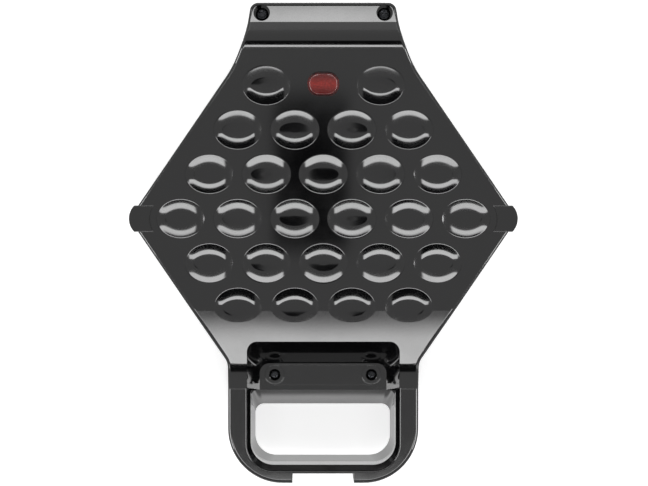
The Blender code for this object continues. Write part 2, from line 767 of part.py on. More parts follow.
def make_lid_cover(plastic, parent):
    """Glossy upper shell: dishes, pocket, handle half, screw wells and inner posts."""
    hollow = lid_form("lid_hollow", WALL, WALL)
    cut(hollow, pocket("pocket_wall", WALL), lid_grip("lid_grip_wall", WALL),
        notch("lid_notch_wall", LID_LOW_Z - WALL - OVERCUT, LID_TOP_Z + WALL, WALL))
    cut(hollow, bowls("dish_backs", dish_places(), DISH_HALF_X + WALL / 2, DISH_HALF_Y + WALL / 2,
                      LID_TOP_Z - WALL, DISH_DEPTH, OVERCUT / 2, BULGE_SIDES,
                      BULGE_RING_SHARES))
    bm = bmesh.new()
    post_low = LID_LOW_Z + BOSS_DEPTH + CLEARANCE
    collar_low = LID_LOW_Z + REFLECTOR_DEPTH + REFLECTOR_THICKNESS + CLEARANCE
    for x, y in post_places():
        add_turned(bm, x, y, ((POST_RADIUS, post_low), (POST_RADIUS, collar_low),
                              (COLLAR_RADIUS, collar_low), (COLLAR_RADIUS, LID_TOP_Z)), SMALL_SIDES)
    frame_top = LID_LOW_Z + FRAME_THICKNESS
    for x, y in screw_places(POCKET_SCREW_X, POCKET_SCREW_Y):
        add_turned(bm, x, y, ((POCKET_BOSS_RADIUS, frame_top + CLEARANCE),
                              (POCKET_BOSS_RADIUS, POCKET_FLOOR_Z)))
    for x, y in screw_places(STRIP_SCREW_X, STRIP_SCREW_Y):
        add_turned(bm, x, y, ((STRIP_BOSS_RADIUS, ARM_TOP_Z + CLEARANCE),
                              (STRIP_BOSS_RADIUS, LID_TOP_Z)))
    cut(hollow, cutter("lid_posts", bm))

    shell = lid_form("lid_outer", 0, 0)
    cover = piece("lid_cover", bmesh.new(), plastic, parent)
    cover.data = shell.data
    cover.data.materials.append(plastic)
    combine(cover, "INTERSECT", bpy.data.objects["lid_outer_profile"])
    bpy.data.objects.remove(shell)
    round_edges(cover, LID_EDGE_FILLET)
    cut(cover, trim("lid_trim", LID_LOW_Z - WALL - OVERCUT - OVERCUT, LID_LOW_Z))
    add(cover, ears("lid_ears", LID_LOW_Z, LID_TOP_Z + EAR_RISE))
    cut(cover, hollow)

    opening = pocket("pocket_opening", 0)
    bm = bmesh.new()
    for x, y in screw_places(POCKET_SCREW_X, POCKET_SCREW_Y):
        add_turned(bm, x, y, ((POCKET_BOSS_RADIUS, POCKET_FLOOR_Z - OVERCUT),
                              (POCKET_BOSS_RADIUS, POCKET_FLOOR_Z + POCKET_BOSS_RISE)))
    cut(opening, cutter("pocket_boss_rims", bm))
    cut(cover, opening, lid_grip("lid_grip_opening", 0),
        notch("lid_notch", LID_LOW_Z - OVERCUT, LID_TOP_Z, 0))
    cut(cover, bowls("dishes", dish_places(), DISH_HALF_X, DISH_HALF_Y, LID_TOP_Z, DISH_DEPTH,
                     OVERCUT, DISH_SIDES, DISH_RING_SHARES))

    bm = bmesh.new()
    for x, y in screw_places(POCKET_SCREW_X, POCKET_SCREW_Y):
        add_turned(bm, x, y, ((SCREW_HOLE_RADIUS, frame_top), (SCREW_HOLE_RADIUS, POCKET_WELL_FLOOR_Z),
                              (POCKET_WELL_RADIUS, POCKET_WELL_FLOOR_Z),
                              (POCKET_WELL_RADIUS, POCKET_FLOOR_Z + POCKET_BOSS_RISE + OVERCUT)),
                   SMALL_SIDES)
    for x, y in screw_places(STRIP_SCREW_X, STRIP_SCREW_Y):
        add_turned(bm, x, y, ((SCREW_HOLE_RADIUS, ARM_TOP_Z), (SCREW_HOLE_RADIUS, STRIP_WELL_FLOOR_Z),
                              (STRIP_WELL_RADIUS, STRIP_WELL_FLOOR_Z),
                              (STRIP_WELL_RADIUS, LID_TOP_Z)))
    add_prism(bm, lens_outline(CLEARANCE), LID_TOP_Z - WALL - OVERCUT, LID_TOP_Z + OVERCUT)
    catch_low = LATCH_PIVOT_Z + LATCH_LIP_START - CATCH_GAP
    catch_high = LATCH_PIVOT_Z + LATCH_LIP_START + LATCH_LIP_HEIGHT + 2 * CATCH_GAP
    lip_end = LATCH_PIVOT_Y + LATCH_THICKNESS / 2 + LATCH_LIP_REACH
    half = NOTCH_HALF_WIDTH - LATCH_SIDE_GAP + CATCH_GAP
    add_box(bm, (-half, half), (NOTCH_Y - OVERCUT, lip_end + CATCH_GAP), (catch_low, catch_high))
    cut(cover, cutter("lid_wells", bm))
    return cover


def lens_outline(grow):
    """Rounded outline of the indicator's lens."""
    corners = [(LENS_HALF_X, -LENS_HALF_Y), (LENS_HALF_X, LENS_HALF_Y),
               (-LENS_HALF_X, LENS_HALF_Y), (-LENS_HALF_X, -LENS_HALF_Y)]
    outline = rounded([(x, LENS_Y + y, LENS_CORNER_RADIUS) for x, y in corners])
    return moved_out(outline, grow)


def make_lens(red, parent):
    """Indicator lens: a rounded window with a flange under the cover."""
    under = LID_TOP_Z - WALL - CLEARANCE
    face = lens_outline(0)
    flange = lens_outline(LENS_FLANGE_WIDTH)
    smaller = lens_outline(-LENS_CHAMFER)
    bm = bmesh.new()
    add_loft(bm, [at_level(face, under - LENS_BODY_DEPTH),
                  at_level(face, under - LENS_FLANGE_THICKNESS),
                  at_level(flange, under - LENS_FLANGE_THICKNESS), at_level(flange, under),
                  at_level(face, under), at_level(face, LID_TOP_Z + LENS_RISE - LENS_CHAMFER),
                  at_level(smaller, LID_TOP_Z + LENS_RISE)])
    piece("indicator_lens", bm, red, parent)


def make_lamp(glass, parent):
    """Small tubular lamp lying under the lens."""
    bm = bmesh.new()
    centre_z = LID_TOP_Z - WALL - CLEARANCE - LENS_BODY_DEPTH - CLEARANCE - LAMP_RADIUS
    add_roller(bm, LENS_Y, centre_z, LAMP_RADIUS, -LAMP_LENGTH / 2, LAMP_LENGTH / 2, SMALL_SIDES)
    piece("indicator_lamp", bm, glass, parent)


def frame_form(name, plastic, parent, rear, level, sign):
    """Plastic ring that carries a plate, from its level at the parting plane away from it."""
    outline = clipped(moved_out(shell_outline(), -WALL - CLEARANCE), FRAME_FRONT_Y, rear)
    far = level + sign * FRAME_THICKNESS
    bm = bmesh.new()
    add_prism(bm, outline, min(level, far), max(level, far))
    return piece(name, bm, plastic, parent, False)


def plate_opening(name, margin, first, second):
    """Opening of a frame at one of its two steps."""
    bm = bmesh.new()
    add_prism(bm, pattern_outline(margin + CLEARANCE), min(first, second), max(first, second))
    return cutter(name, bm)


def make_lid_frame(plastic, parent):
    """Ring under the lid's shell, with the ledge, two hinge arms and the screw holes."""
    frame = frame_form("lid_frame", plastic, parent, FRAME_REAR_Y, LID_LOW_Z, 1)
    bm = bmesh.new()
    for side in (-1, 1):
        x_range = sorted((side * ARM_INNER_X, side * ARM_OUTER_X))
        add_box(bm, x_range, (FRAME_REAR_Y - KNUCKLE_RADIUS, ARM_REAR_Y), (LID_LOW_Z, ARM_TOP_Z))
    add(frame, cutter("lid_arms", bm))
    bm = bmesh.new()
    for side in (-1, 1):
        left, right = sorted((side * ARM_INNER_X, side * ARM_OUTER_X))
        add_roller(bm, HINGE_Y, PARTING_Z, KNUCKLE_RADIUS, left, right)
    add(frame, cutter("lid_knuckles", bm))
    ledge = LID_LOW_Z + FRAME_LEDGE
    cut(frame, plate_opening("lid_ledge_opening", LAND_MARGIN, LID_LOW_Z - OVERCUT, ledge + CLEARANCE),
        plate_opening("lid_flange_opening", FLANGE_MARGIN, ledge, ledge + FRAME_THICKNESS))
    bm = bmesh.new()
    for x, y in screw_places(POCKET_SCREW_X, POCKET_SCREW_Y):
        add_turned(bm, x, y, ((SCREW_HOLE_RADIUS, POCKET_SCREW_TIP_Z - SCREW_TIP_GAP),
                              (SCREW_HOLE_RADIUS, ARM_TOP_Z)), SMALL_SIDES)
    for x, y in screw_places(STRIP_SCREW_X, STRIP_SCREW_Y):
        add_turned(bm, x, y, ((SCREW_HOLE_RADIUS, STRIP_SCREW_TIP_Z - SCREW_TIP_GAP),
                              (SCREW_HOLE_RADIUS, ARM_TOP_Z + OVERCUT)), SMALL_SIDES)
    add_roller(bm, HINGE_Y, PARTING_Z, HINGE_PIN_RADIUS + CLEARANCE, -HEX_HALF_WIDTH, HEX_HALF_WIDTH,
               SMALL_SIDES)
    cut(frame, cutter("lid_frame_holes", bm))


def make_screw(name, steel, parent, place, tip_z, seat_z, head_radius, up):
    """Pan-head screw, head up or head down, seated on its well's floor."""
    bm = bmesh.new()
    sign = 1 if up else -1
    seat = seat_z + sign * CLEARANCE
    steps = [(SCREW_RADIUS, tip_z), (SCREW_RADIUS, seat), (head_radius, seat),
             (head_radius, seat + sign * SCREW_HEAD_HEIGHT)]
    add_turned(bm, place[0], place[1], steps, SMALL_SIDES)
    piece(name, bm, steel, parent)


def make_lid_screws(steel, parent):
    """Two screws in the pocket and two in the hinge strip."""
    for label, place in zip(("left", "right"), screw_places(POCKET_SCREW_X, POCKET_SCREW_Y)):
        make_screw("pocket_screw_" + label, steel, parent, place, POCKET_SCREW_TIP_Z,
                   POCKET_WELL_FLOOR_Z, POCKET_SCREW_HEAD_RADIUS, True)
    for label, place in zip(("left", "right"), screw_places(STRIP_SCREW_X, STRIP_SCREW_Y)):
        make_screw("hinge_screw_" + label, steel, parent, place, STRIP_SCREW_TIP_Z,
                   STRIP_WELL_FLOOR_Z, STRIP_SCREW_HEAD_RADIUS, True)


# Pieces of both halves

def make_plate(name, aluminium, parent, level, sign, flange_depth):
    """Cast plate: cavities sunk in a field on one side, their domes and four bosses behind."""
    def at(depth):
        return level + sign * depth

    def levels(first, second):
        return sorted((at(first), at(second)))

    places = [(x, y) for row, x, y in honeycomb(CAVITY_PITCH_X, CAVITY_PITCH_Y)]
    bm = bmesh.new()
    add_prism(bm, pattern_outline(LAND_MARGIN), *levels(0, SLAB_THICKNESS))
    plate = piece(name, bm, aluminium, parent)
    bm = bmesh.new()
    flange_end = flange_depth + FLANGE_THICKNESS
    add_prism(bm, pattern_outline(FLANGE_MARGIN), *levels(flange_depth, flange_end))
    add(plate, cutter(name + "_flange", bm))
    slab_back = SLAB_THICKNESS - FLANGE_THICKNESS / 2
    dome_half_x = CAVITY_HALF_X + PLATE_SKIN
    dome_half_y = CAVITY_HALF_Y + PLATE_SKIN
    add(plate, bowls(name + "_domes", places, dome_half_x, dome_half_y, at(slab_back),
                     -sign * (PLATE_DEPTH - slab_back), -sign * FLANGE_THICKNESS / 4, CAVITY_SIDES,
                     CAVITY_RING_SHARES))
    bm = bmesh.new()
    for x, y in post_places():
        ends = levels(slab_back, BOSS_DEPTH)
        add_turned(bm, x, y, [(PLATE_BOSS_RADIUS, z) for z in ends], SMALL_SIDES)
    if sign < 0:
        ends = levels(slab_back, BOSS_DEPTH)
        add_turned(bm, 0, HEX_CENTRE_Y + THERMOSTAT_ROW_OFFSET,
                   [(SENSOR_BOSS_RADIUS, z) for z in ends], SMALL_SIDES)
    add(plate, cutter(name + "_bosses", bm))
    bm = bmesh.new()
    add_prism(bm, pattern_outline(FIELD_MARGIN), *levels(-OVERCUT, FIELD_DEPTH))
    cut(plate, cutter(name + "_field", bm))
    cut(plate, bowls(name + "_cavities", places, CAVITY_HALF_X, CAVITY_HALF_Y, at(FIELD_DEPTH),
                     -sign * CAVITY_DEPTH, -sign * FIELD_DEPTH / 2, CAVITY_SIDES,
                     CAVITY_RING_SHARES))
    if sign < 0:
        bm = bmesh.new()
        for x, y in post_places():
            ends = levels(BOSS_DEPTH - BASE_SCREW_BITE - SCREW_TIP_GAP, BOSS_DEPTH + OVERCUT)
            add_turned(bm, x, y, [(SCREW_HOLE_RADIUS, z) for z in ends], SMALL_SIDES)
        cut(plate, cutter(name + "_holes", bm))


def element_route():
    """Hexagonal loop of the heater, open at the rear, with both ends led back."""
    half_short = CAVITY_PITCH_X * (LONGEST_ROW - 1 - HONEYCOMB_ROWS[-1]) / 2 * ELEMENT_SHARE
    half_long = CAVITY_PITCH_X * (LONGEST_ROW - 1) / 2 * ELEMENT_SHARE
    half_depth = CAVITY_PITCH_Y * HONEYCOMB_ROWS[-1] * ELEMENT_SHARE
    end_x = ELEMENT_END_GAP / 2
    rear_y = HEX_CENTRE_Y + half_depth
    right = [
        (half_short, HEX_CENTRE_Y - half_depth, ELEMENT_CORNER_RADIUS),
        (half_long, HEX_CENTRE_Y, ELEMENT_CORNER_RADIUS),
        (end_x, rear_y, ELEMENT_CORNER_RADIUS / 2),
        (end_x, ELEMENT_TAIL_Y, 0),
    ]
    loop = rounded(mirrored(right))
    split = max(index for index, point in enumerate(loop) if point == (end_x, ELEMENT_TAIL_Y)) + 1
    return loop[split:] + loop[:split]


def make_element(name, steel, parent, z):
    """Tubular heater, 0.3 mm off the plate's domes."""
    curve = bpy.data.curves.new(name, "CURVE")
    curve.dimensions = "3D"
    curve.bevel_depth = ELEMENT_RADIUS
    curve.bevel_resolution = 2
    curve.use_fill_caps = True
    route = element_route()
    spline = curve.splines.new("POLY")
    spline.points.add(len(route) - 1)
    for point, (x, y) in zip(spline.points, route):
        point.co = (x, y, z, 1)
    curve.materials.append(steel)
    obj = bpy.data.objects.new(name, curve)
    bpy.context.scene.collection.objects.link(obj)
    obj.parent = parent
    obj.matrix_parent_inverse = Matrix.Translation(parent.location).inverted()


def make_reflector(name, steel, parent, level, sign):
    """Thin tray behind the heater, its flange turned towards the plate."""
    outer = pattern_outline(0, REFLECTOR_CORNER_RADIUS)
    inner = moved_out(outer, -REFLECTOR_THICKNESS)
    back = level + sign * (REFLECTOR_DEPTH + REFLECTOR_THICKNESS)
    face = level + sign * REFLECTOR_DEPTH
    lip = face - sign * REFLECTOR_FLANGE
    bm = bmesh.new()
    add_loft(bm, [at_level(outer, back), at_level(outer, lip), at_level(inner, lip),
                  at_level(inner, face)])
    tray = piece(name, bm, steel, parent, False)
    bm = bmesh.new()
    for x, y in post_places():
        ends = sorted((back + sign * OVERCUT / 2, face - sign * OVERCUT / 2))
        add_turned(bm, x, y, [(POST_RADIUS + CLEARANCE, z) for z in ends], SMALL_SIDES)
    cut(tray, cutter(name + "_holes", bm))


# Pieces of the base

def lug_solids(name):
    """Two rear lugs: round ends on the hinge axis and their necks to the rear wall."""
    neck, ends = bmesh.new(), bmesh.new()
    for side in (-1, 1):
        left, right = sorted((side * LUG_INNER_X, side * LUG_OUTER_X))
        add_box(neck, (left, right), (BASE_REAR_Y - WALL, HINGE_Y), (PARTING_Z - LUG_RADIUS, BASE_TOP_Z))
        add_roller(ends, HINGE_Y, PARTING_Z, LUG_RADIUS, left, right)
    return cutter(name + "_necks", neck), cutter(name + "_ends", ends)


def rib_solids(name):
    """Ribs on the base's sloping walls that carry its frame."""
    bm = bmesh.new()
    top = BASE_TOP_Z - FRAME_THICKNESS - CLEARANCE
    for side in (-1, 1):
        for end_y in (FRAME_FRONT_Y, NECK_KNEE_Y):
            for share in SUPPORT_RIB_SHARES:
                y = HEX_CENTRE_Y + (end_y - HEX_CENTRE_Y) * share
                wall_x = hex_half_width(y)
                x_range = sorted((side * (wall_x - SUPPORT_RIB_REACH - WALL), side * HEX_HALF_WIDTH))
                half = SUPPORT_RIB_THICKNESS / 2
                add_box(bm, x_range, (y - half, y + half), (BASE_BOTTOM_Z, top))
    return cutter(name, bm)


def make_base_housing(plastic, parent):
    """Lower shell: handle half, hinge lugs, screw posts, frame ribs, vents and foot holes."""
    hollow = base_form("base_hollow", WALL, WALL)
    cut(hollow, base_grip("base_grip_wall", WALL),
        notch("base_notch_wall", BASE_BOTTOM_Z, BASE_TOP_Z + WALL + OVERCUT, WALL))
    cut(hollow, rib_solids("base_ribs"))
    bm = bmesh.new()
    post_top = BASE_TOP_Z - BOSS_DEPTH - CLEARANCE
    collar_top = BASE_TOP_Z - REFLECTOR_DEPTH - REFLECTOR_THICKNESS - CLEARANCE
    for x, y in post_places():
        add_turned(bm, x, y, ((COLLAR_RADIUS, BASE_BOTTOM_Z), (COLLAR_RADIUS, collar_top),
                              (POST_RADIUS, collar_top), (POST_RADIUS, post_top)), SMALL_SIDES)
    cut(hollow, cutter("base_posts", bm))

    shell = base_form("base_outer", 0, 0)
    housing = piece("base_housing", bmesh.new(), plastic, parent)
    housing.data = shell.data
    housing.data.materials.append(plastic)
    combine(housing, "INTERSECT", bpy.data.objects["base_outer_profile"])
    bpy.data.objects.remove(shell)
    round_edges(housing, BASE_EDGE_FILLET)
    cut(housing, trim("base_trim", BASE_TOP_Z, BASE_TOP_Z + WALL + OVERCUT + OVERCUT))
    add(housing, ears("base_ears", EAR_BASE_LOW_Z, BASE_TOP_Z))
    cut(housing, hollow)
    add(housing, *lug_solids("base_lugs"))
    cut(housing, base_grip("base_grip_opening", 0),
        notch("base_notch", BASE_BOTTOM_Z, BASE_TOP_Z + OVERCUT, 0))

    bm = bmesh.new()
    add_roller(bm, HINGE_Y, PARTING_Z, HINGE_PIN_RADIUS + CLEARANCE, -HEX_HALF_WIDTH, HEX_HALF_WIDTH,
               SMALL_SIDES)
    pin_half = NOTCH_HALF_WIDTH + WALL + LATCH_PIN_OVERRUN
    add_roller(bm, LATCH_PIVOT_Y, LATCH_PIVOT_Z, LATCH_PIN_RADIUS + CLEARANCE, -pin_half, pin_half,
               SMALL_SIDES)
    for x, y in post_places():
        add_turned(bm, x, y, ((BASE_WELL_RADIUS, BASE_BOTTOM_Z - OVERCUT),
                              (BASE_WELL_RADIUS, BASE_WELL_FLOOR_Z),
                              (SCREW_HOLE_RADIUS, BASE_WELL_FLOOR_Z),
                              (SCREW_HOLE_RADIUS, post_top + OVERCUT / 4)), SMALL_SIDES)
    for x, y in foot_places():
        add_turned(bm, x, y, ((FOOT_STEM_RADIUS + CLEARANCE, BASE_BOTTOM_Z - OVERCUT),
                              (FOOT_STEM_RADIUS + CLEARANCE, BASE_BOTTOM_Z + WALL + OVERCUT)),
                   SMALL_SIDES)
    angles = [2 * pi * side / ROUND_SIDES for side in range(ROUND_SIDES)]
    hole = INLET_NECK_RADIUS + CLEARANCE
    rings = []
    for y in (BASE_REAR_Y - WALL - OVERCUT, BASE_REAR_Y + OVERCUT):
        rings.append([(hole * cos(a), y, INLET_Z + hole * sin(a)) for a in angles])
    add_loft(bm, rings)
    for side in (-1, 1):
        for slot in range(VENT_COUNT):
            y = HEX_CENTRE_Y + VENT_PITCH * (slot - (VENT_COUNT - 1) / 2)
            x_range = sorted((side * (VENT_X - VENT_HALF_LENGTH), side * (VENT_X + VENT_HALF_LENGTH)))
            add_box(bm, x_range, (y - VENT_WIDTH / 2, y + VENT_WIDTH / 2),
                    (BASE_BOTTOM_Z - OVERCUT, BASE_BOTTOM_Z + WALL + OVERCUT))
    cut(housing, cutter("base_holes", bm))


def make_base_frame(plastic, parent):
    """Ring round the lower plate, whose ledge carries the plate's flange."""
    rear = BASE_REAR_Y - WALL - CLEARANCE
    frame = frame_form("base_frame", plastic, parent, rear, BASE_TOP_Z, -1)
    step = BASE_TOP_Z - FLANGE_THICKNESS - CLEARANCE
    low = BASE_TOP_Z - FRAME_THICKNESS - OVERCUT
    cut(frame, plate_opening("base_flange_opening", FLANGE_MARGIN, BASE_TOP_Z + OVERCUT, step),
        plate_opening("base_ledge_opening", LAND_MARGIN, step + CLEARANCE, low))


def foot_places():
    """The four feet, front pair first."""
    return [(x, y) for y in (FOOT_FRONT_Y, FOOT_REAR_Y) for x in (-FOOT_X, FOOT_X)]


def make_feet(rubber, parent):
    """Four rubber feet, each with a stem in the base's underside."""
    labels = ("front_left", "front_right", "rear_left", "rear_right")
    top = BASE_BOTTOM_Z - CLEARANCE
    for label, (x, y) in zip(labels, foot_places()):
        bm = bmesh.new()
        add_turned(bm, x, y, ((FOOT_SOLE_RADIUS, 0), (FOOT_RADIUS, top / 2), (FOOT_RADIUS, top),
                              (FOOT_STEM_RADIUS, top), (FOOT_STEM_RADIUS, top + FOOT_STEM_HEIGHT)))
        piece("foot_" + label, bm, rubber, parent)


def make_base_screws(steel, parent):
    """Four screws from below, through the posts into the lower plate's bosses."""
    labels = ("front_left", "rear_left", "front_right", "rear_right")
    tip = BASE_TOP_Z - BOSS_DEPTH + BASE_SCREW_BITE
    for label, place in zip(labels, post_places()):
        make_screw("base_screw_" + label, steel, parent, place, tip, BASE_WELL_FLOOR_Z,
                   BASE_SCREW_HEAD_RADIUS, False)


def make_thermostat(steel, parent):
    """Disc thermostat held against the lower plate's middle boss."""
    top = BASE_TOP_Z - BOSS_DEPTH - CLEARANCE
    low = BASE_TOP_Z - REFLECTOR_DEPTH + CLEARANCE
    bm = bmesh.new()
    add_turned(bm, 0, HEX_CENTRE_Y + THERMOSTAT_ROW_OFFSET,
               ((THERMOSTAT_RADIUS, low), (THERMOSTAT_RADIUS, top - THERMOSTAT_FLANGE_HEIGHT),
                (THERMOSTAT_FLANGE_RADIUS, top - THERMOSTAT_FLANGE_HEIGHT),
                (THERMOSTAT_FLANGE_RADIUS, top)))
    piece("thermostat", bm, steel, parent)


def make_fuse(fabric, parent):
    """Thermal fuse in its sleeve, lying on the lower reflector."""
    centre_z = BASE_TOP_Z - REFLECTOR_DEPTH + CLEARANCE + FUSE_RADIUS
    bm = bmesh.new()
    add_roller(bm, HEX_CENTRE_Y + FUSE_ROW_OFFSET, centre_z, FUSE_RADIUS, -FUSE_LENGTH / 2,
               FUSE_LENGTH / 2, SMALL_SIDES)
    piece("thermal_fuse", bm, fabric, parent)


def make_terminal_block(nylon, parent):
    """Screw terminal block on the base's floor, with a bore for each wire."""
    floor = BASE_BOTTOM_Z + WALL + CLEARANCE
    bm = bmesh.new()
    half = TERMINAL_WIDTH / 2
    add_box(bm, (-half, half), (TERMINAL_Y - TERMINAL_DEPTH / 2, TERMINAL_Y + TERMINAL_DEPTH / 2),
            (floor, floor + TERMINAL_HEIGHT))
    block = piece("terminal_block", bm, nylon, parent, False)
    bm = bmesh.new()
    pitch = TERMINAL_WIDTH / TERMINAL_WAYS
    for way in range(TERMINAL_WAYS):
        x = pitch * (way - (TERMINAL_WAYS - 1) / 2)
        add_turned(bm, x, TERMINAL_Y, ((TERMINAL_WAY_RADIUS, floor + TERMINAL_HEIGHT / 2),
                                       (TERMINAL_WAY_RADIUS, floor + TERMINAL_HEIGHT + OVERCUT)),
                   SMALL_SIDES)
    cut(block, cutter("terminal_ways", bm))


def make_cord_inlet(rubber, parent):
    """Grommet in the rear wall, flanged on both sides, with the cord's bore."""
    stations = ((INLET_BORE_RADIUS, 0), (INLET_FLANGE_RADIUS, 0), (INLET_FLANGE_RADIUS, 1),
                (INLET_NECK_RADIUS, 1), (INLET_NECK_RADIUS, 2), (INLET_FLANGE_RADIUS, 2),
                (INLET_FLANGE_RADIUS, 3), (INLET_BORE_RADIUS, 3))
    inner = BASE_REAR_Y - WALL - CLEARANCE
    outer = BASE_REAR_Y + CLEARANCE
    depths = (inner - INLET_FLANGE_THICKNESS, inner, outer, outer + INLET_FLANGE_THICKNESS)
    bm = bmesh.new()
    profile = [bm.verts.new((radius, depths[index], INLET_Z)) for radius, index in stations]
    edges = [bm.edges.new(pair) for pair in zip(profile, profile[1:] + profile[:1])]
    bmesh.ops.spin(bm, geom=profile + edges, cent=(0, 0, INLET_Z), axis=(0, 1, 0), angle=2 * pi,
                   steps=ROUND_SIDES, use_merge=True)
    face_out(bm, bm.faces[:])
    piece("cord_inlet", bm, rubber, parent)


def make_hinge_pin(steel, parent):
    """Steel pin through the lid's arms and the base's lugs."""
    bm = bmesh.new()
    add_roller(bm, HINGE_Y, PARTING_Z, HINGE_PIN_RADIUS, -HINGE_PIN_HALF_LENGTH,
               HINGE_PIN_HALF_LENGTH, SMALL_SIDES)
    piece("hinge_pin", bm, steel, parent)


def make_latch_pin(steel, parent):
    """Wire pin of the latch, between the notch's side walls."""
    half = NOTCH_HALF_WIDTH + WALL + LATCH_PIN_OVERRUN / 2
    bm = bmesh.new()
    add_roller(bm, LATCH_PIVOT_Y, LATCH_PIVOT_Z, LATCH_PIN_RADIUS, -half, half, SMALL_SIDES)
    piece("latch_pin", bm, steel, parent)


def make_latch(plastic, parent):
    """Latch hanging from its pin: knuckle, plate and the lip that catches in the lid."""
    half = NOTCH_HALF_WIDTH - LATCH_SIDE_GAP
    back = LATCH_PIVOT_Y + LATCH_THICKNESS / 2
    front = LATCH_PIVOT_Y - LATCH_THICKNESS / 2
    lip_front = front - LATCH_LIP_REACH
    lip_top = LATCH_PIVOT_Z - LATCH_LIP_START
    lip_low = lip_top - LATCH_LIP_HEIGHT
    low = LATCH_PIVOT_Z - LATCH_LENGTH
    profile = [(front, low), (back, low), (back, LATCH_PIVOT_Z), (front, LATCH_PIVOT_Z),
               (front, lip_top), (lip_front, lip_top), (lip_front, lip_low), (front, lip_low)]
    bm = bmesh.new()
    add_side_prism(bm, profile, -half, half)
    latch = piece("latch", bm, plastic, parent)
    bm = bmesh.new()
    add_roller(bm, LATCH_PIVOT_Y, LATCH_PIVOT_Z, LATCH_KNUCKLE_RADIUS, -half, half)
    add(latch, cutter("latch_knuckle", bm))
    bm = bmesh.new()
    add_roller(bm, LATCH_PIVOT_Y, LATCH_PIVOT_Z, LATCH_PIN_RADIUS + CLEARANCE, -half - OVERCUT,
               half + OVERCUT, SMALL_SIDES)
    cut(latch, cutter("latch_bore", bm))


def build():
    """Model every piece under the axis of the body that it belongs to."""
    clear_scene()
    gloss = material("glossy_black_plastic", (0.010, 0.010, 0.011), 0.08)
    matt = material("matt_black_plastic", (0.018, 0.018, 0.019), 0.45)
    coating = material("non_stick_coating", (0.035, 0.035, 0.037), 0.40, 0.2)
    steel = material("bright_steel", (0.55, 0.55, 0.56), 0.30, 1.0)
    dark_steel = material("blackened_steel", (0.030, 0.030, 0.032), 0.30, 1.0)
    sheet = material("aluminium_sheet", (0.70, 0.70, 0.71), 0.35, 1.0)
    red = material("red_lens_plastic", (0.35, 0.02, 0.015), 0.15)
    glass = material("lamp_glass", (0.75, 0.45, 0.30), 0.10)
    rubber = material("black_rubber", (0.020, 0.020, 0.020), 0.70)
    nylon = material("white_nylon", (0.75, 0.75, 0.72), 0.50)
    fabric = material("glass_fibre_sleeve", (0.70, 0.68, 0.60), 0.80)

    base_axis = axis_empty("base_origin", 0, 0)
    lid_axis = axis_empty("lid_hinge_axis", HINGE_Y, PARTING_Z)
    latch_axis = axis_empty("latch_pivot_axis", LATCH_PIVOT_Y, LATCH_PIVOT_Z)

    make_base_housing(gloss, base_axis)
    make_base_frame(matt, base_axis)
    make_plate("lower_plate", coating, base_axis, BASE_TOP_Z, -1, 0)
    make_element("lower_element", steel, base_axis, BASE_TOP_Z - ELEMENT_DEPTH)
    make_reflector("lower_reflector", sheet, base_axis, BASE_TOP_Z, -1)
    make_thermostat(steel, base_axis)
    make_fuse(fabric, base_axis)
    make_terminal_block(nylon, base_axis)
    make_cord_inlet(rubber, base_axis)
    make_feet(rubber, base_axis)
    make_base_screws(steel, base_axis)
    make_hinge_pin(steel, base_axis)
    make_latch_pin(steel, base_axis)

    make_lid_cover(gloss, lid_axis)
    make_lid_frame(matt, lid_axis)
    make_plate("upper_plate", coating, lid_axis, LID_LOW_Z, 1, FRAME_LEDGE + CLEARANCE)
    make_element("upper_element", steel, lid_axis, LID_LOW_Z + ELEMENT_DEPTH)
    make_reflector("upper_reflector", sheet, lid_axis, LID_LOW_Z, 1)
    make_lens(red, lid_axis)
    make_lamp(glass, lid_axis)
    make_lid_screws(dark_steel, lid_axis)

    make_latch(matt, latch_axis)


build()
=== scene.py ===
# %% [markdown]
# # A bubble waffle maker, seen from above
#
# The object is a countertop cooker with a hinged lid. Two high-gloss black shells close on a
# honeycomb of egg-shaped cavities, and the lid repeats the honeycomb outside as shallow dishes.
# The engineering model gives every piece its place and size. This lesson dresses it: smooth
# moulded surfaces where the engineering model is faceted, and a finish for every piece.

# %% Load the engineering model
import math

import bmesh
import bpy
from mathutils import Matrix, Vector


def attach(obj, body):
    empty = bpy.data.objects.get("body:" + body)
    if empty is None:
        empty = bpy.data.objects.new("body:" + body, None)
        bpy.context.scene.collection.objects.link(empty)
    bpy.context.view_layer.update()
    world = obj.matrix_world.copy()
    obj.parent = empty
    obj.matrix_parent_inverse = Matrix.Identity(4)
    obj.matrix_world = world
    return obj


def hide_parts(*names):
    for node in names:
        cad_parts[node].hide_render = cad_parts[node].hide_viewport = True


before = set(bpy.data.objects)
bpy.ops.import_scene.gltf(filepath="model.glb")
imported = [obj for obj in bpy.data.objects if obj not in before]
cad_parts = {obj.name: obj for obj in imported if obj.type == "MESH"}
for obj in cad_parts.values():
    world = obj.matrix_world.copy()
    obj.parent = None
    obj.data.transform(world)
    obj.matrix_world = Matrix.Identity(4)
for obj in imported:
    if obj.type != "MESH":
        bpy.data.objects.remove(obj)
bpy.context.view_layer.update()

# %% [markdown]
# ## Working habits
#
# An operator acts on everything that is selected, so each step starts from an empty selection.
# These helpers do what a modeller does by hand: deselect, go into edit mode, pick faces or edges
# by where they are, and apply a modifier.

# %% Selection and modifiers
def select_only(*things):
    """Leave only these objects selected, the last one active."""
    if bpy.context.object and bpy.context.object.mode != "OBJECT":
        bpy.ops.object.mode_set(mode="OBJECT")
    bpy.ops.object.select_all(action="DESELECT")
    for thing in things:
        thing.select_set(True)
        bpy.context.view_layer.objects.active = thing


def apply_modifier(thing, kind, **settings):
    """Add a modifier, set it up and apply it."""
    select_only(thing)
    modifier = thing.modifiers.new(kind.lower(), kind)
    for name, value in settings.items():
        setattr(modifier, name, value)
    bpy.ops.object.modifier_apply(modifier=modifier.name)


